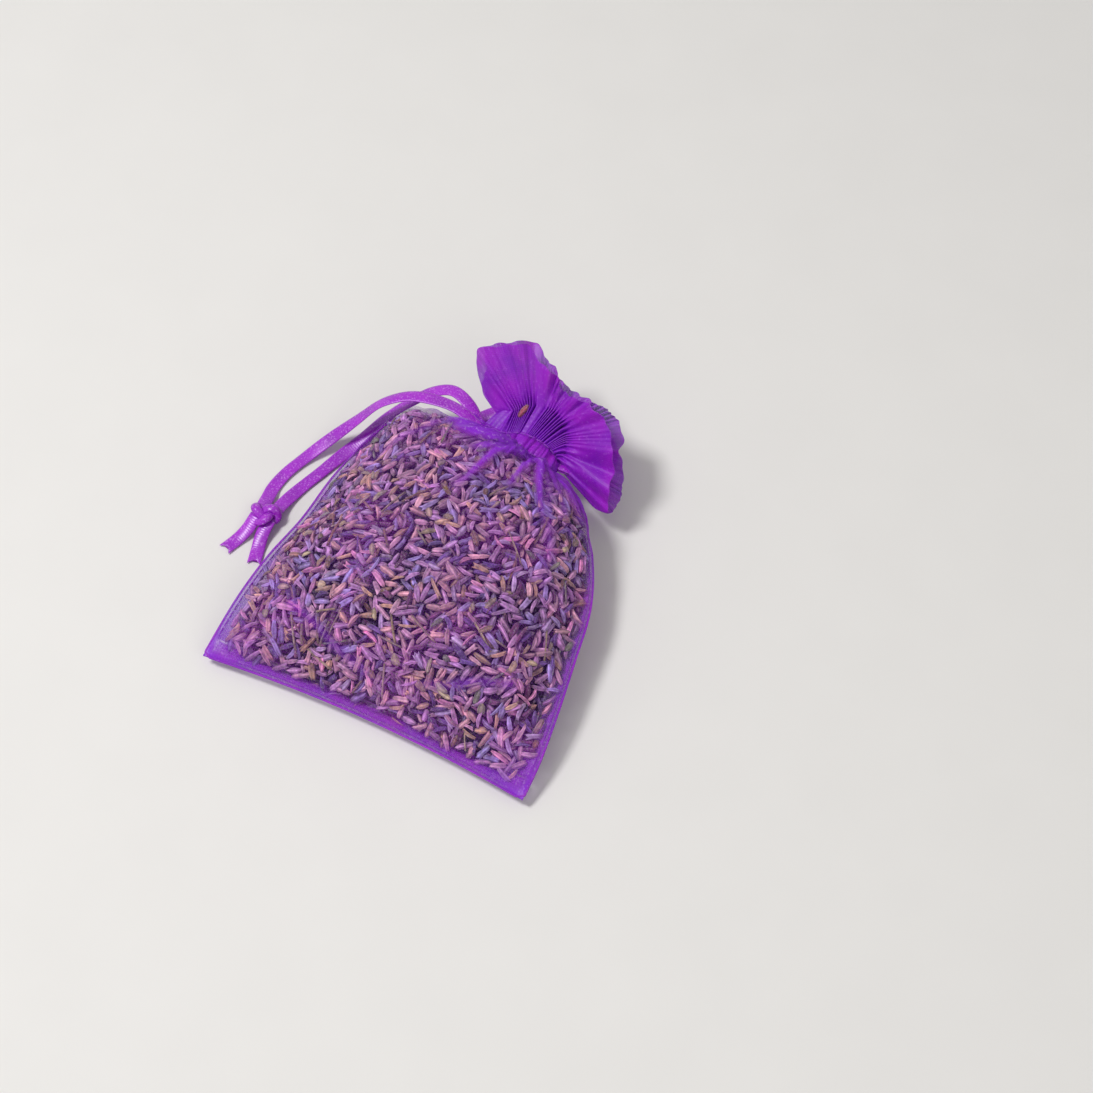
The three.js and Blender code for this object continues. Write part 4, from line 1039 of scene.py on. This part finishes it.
def makeFrill(spec):
    up, out, start = frillFrame()
    loop = np.arange(spec["columns"]) / spec["columns"]
    ring = loop * 2 * np.pi
    front = loop < 0.5
    t = np.where(front, 1 - loop * 2, loop * 2 - 1)  # from right to left in front, back again behind
    swing = lerp(spec["swing"][0], spec["swing"][1], t)
    angle = np.radians(swing)
    fold = np.maximum(0, through(spec["fold"])(swing))
    backFold = 0.5 - 0.5 * np.cos(2 * np.pi * spec["backFolds"] * t)
    slack, fade = spec["slackBase"]
    foot = spec["base"] + slack * bell(swing, spec["swing"][0], fade)
    rim = through(spec["rim"])(swing) + np.where(front, 0, spec["backRim"]) + sines(ring, spec["ripple"])
    rim = np.maximum(rim, foot)
    ends = ease(np.minimum(t, 1 - t) / spec["endShare"])
    pleat = np.cos(2 * np.pi * (loop * spec["gathers"] * 2 + sines(ring, spec["drift"])))
    pleat = pleat * (0.8 + sines(ring, spec["strength"]))
    broad = 2 * np.pi * (loop * spec["waves"] * 2 + sines(ring, spec["waveDrift"]))
    wave = np.cos(broad) + 0.4 * np.cos(broad * 1.5 + 2)
    smooth = np.where(front, spec["gather"][2], spec["backGather"])
    rows = []
    for i in range(spec["rows"]):
        k = min(1, i / spec["neckRows"])
        g = max(0, (i - spec["neckRows"]) / (spec["rows"] - 1 - spec["neckRows"]))
        reach = lerp(foot, rim, g)
        grow = (reach - foot) / (spec["depthReach"] - spec["base"])
        deep = np.where(front, fold * lerp(*spec["depth"], grow), -backFold * lerp(*spec["backDepth"], grow))
        deep = (deep + np.where(front, spec["split"], -spec["split"])) * ends
        gather = smooth + (spec["gather"][1] - smooth) * math.exp(-g / spec["gatherFade"])
        waves = (gather * pleat + spec["wave"] * ease(g) * wave) * ends
        fan = start + up * (reach * np.cos(angle))[:, None] + out * (deep + waves)[:, None]
        fan[:, 0] += reach * np.sin(angle)
        inset = spec["gather"][0] * pleat - spec["footInset"]
        low = casingRing(ring, lerp(*spec["foot"], k), inset, spec["slackShare"])
        rows.append(lerp(low, fan, ease(k)))
    height = np.linspace(1, 0, spec["rows"])[:, None]
    dense = np.broadcast_to(np.clip(1.0 - height * 1.6, 0, 1), (spec["rows"], spec["columns"])).ravel()
    piece = addPiece("frill", *sheetSolid(np.stack(rows)[::-1], spec["thick"], True), denseOrganza,
                     "gathered_organza", ("front_frill", "back_frill", "neck_gather"),
                     weaveMap(loop * spec["flatRound"], height * spec["flatHeight"], 2),
                     body=None, layers=np.tile(dense, 2))
    area = sum(p.area for p in piece.data.polygons) / 2
    print("frill cloth", round(area * 1e6), "square mm")
    return piece


frillCloth = makeFrill(frill)
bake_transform(frillCloth)

# One stray bud, caught in the gathers at the frill's foot; its place is across, up and out from the frill
strayBud = {"place": (-5.5, 6.5, 1.7), "lean": 20, "long": 4.4, "radius": 0.9, "tone": "#b85f70"}


def makeStrayBud(spec):
    up, out, start = frillFrame()
    across, lean = np.array([1.0, 0, 0]), math.radians(spec["lean"])
    axis = across * math.sin(lean) + up * math.cos(lean)
    centre = start + np.array(spec["place"]) @ np.stack([across, up, out])
    shape, cells, along, shade = templates["shrivelled"]
    points = placeBit(shape, centre, axis, np.cross(axis, out), out, spec["long"], spec["radius"])
    # painted shade and highlight from the bud's template: dark mouth, darker grooves, lighter ridges
    tone = np.array(linear(spec["tone"])) * shade[:, None]
    addPiece("strayBud", points, cells, budSkin, "dried_lavender", body="frill", tone=tone)


makeStrayBud(strayBud)
print("frill made")

# Floor, lamps and background
stage = {
    "floor": ("#e9e7e4", "#edebe8"), "grain": 25, "floorSize": 6, "floorLevel": -0.0002,
    # Lamps: place, size and power, each turned to the sachet
    "lamps": {"keyLamp": ((-0.45, -0.25, 1.0), 0.28, 7.4), "fillLamp": ((0.8, -0.5, 0.7), 0.8, 1.8)},
    "aim": (0, 0, 0.01), "light": ("#f4f3f2", 0.4), "seen": ("#efedea", 1.0),
}


def addFloor(spec):
    bpy.ops.mesh.primitive_plane_add(size=spec["floorSize"], location=(0, 0, spec["floorLevel"]))
    floor = bpy.context.object
    floor.name = "paleFloor"
    made, tree, (grain,) = newMaterial("paleFloor", (spec["grain"], 2.0))
    pale, light = [linear(code) for code in spec["floor"]]
    tone = node(tree, "Mix", {0: grain, 6: pale, 7: light}, data_type="RGBA")
    skin = node(tree, "BsdfPrincipled", {"Base Color": tone, "Roughness": 0.8})
    node(tree, "OutputMaterial", {"Surface": skin})
    floor.data.materials.append(made)


def addLamps(spec):
    for name, (place, size, power) in spec["lamps"].items():
        data = bpy.data.lights.new(name, "AREA")
        data.shape, data.size, data.energy = "DISK", size, power
        lamp = bpy.data.objects.new(name, data)
        lamp.location = place
        lamp.rotation_euler = (Vector(spec["aim"]) - Vector(place)).to_track_quat("-Z", "Y").to_euler()
        bpy.context.collection.objects.link(lamp)


def addWorld(spec):
    # Lights the sachet dimly, and shows as a pale wall behind it
    world = bpy.data.worlds.new("paleRoom")
    world.use_nodes = True
    tree = world.node_tree
    tree.nodes.clear()
    path = node(tree, "LightPath")
    seen = path.outputs["Is Camera Ray"]
    for ray in ("Is Glossy Ray", "Is Transmission Ray"):
        seen = node(tree, "Math", [seen, path.outputs[ray]], operation="MAXIMUM")
    light, pale = [node(tree, "Background", {"Color": linear(code), "Strength": strength})
                   for code, strength in (spec["light"], spec["seen"])]
    both = node(tree, "MixShader", [seen, light, pale])
    node(tree, "OutputWorld", {"Surface": both})
    bpy.context.scene.world = world


addFloor(stage)
addLamps(stage)
addWorld(stage)
bpy.context.scene.view_settings.view_transform = "Standard"
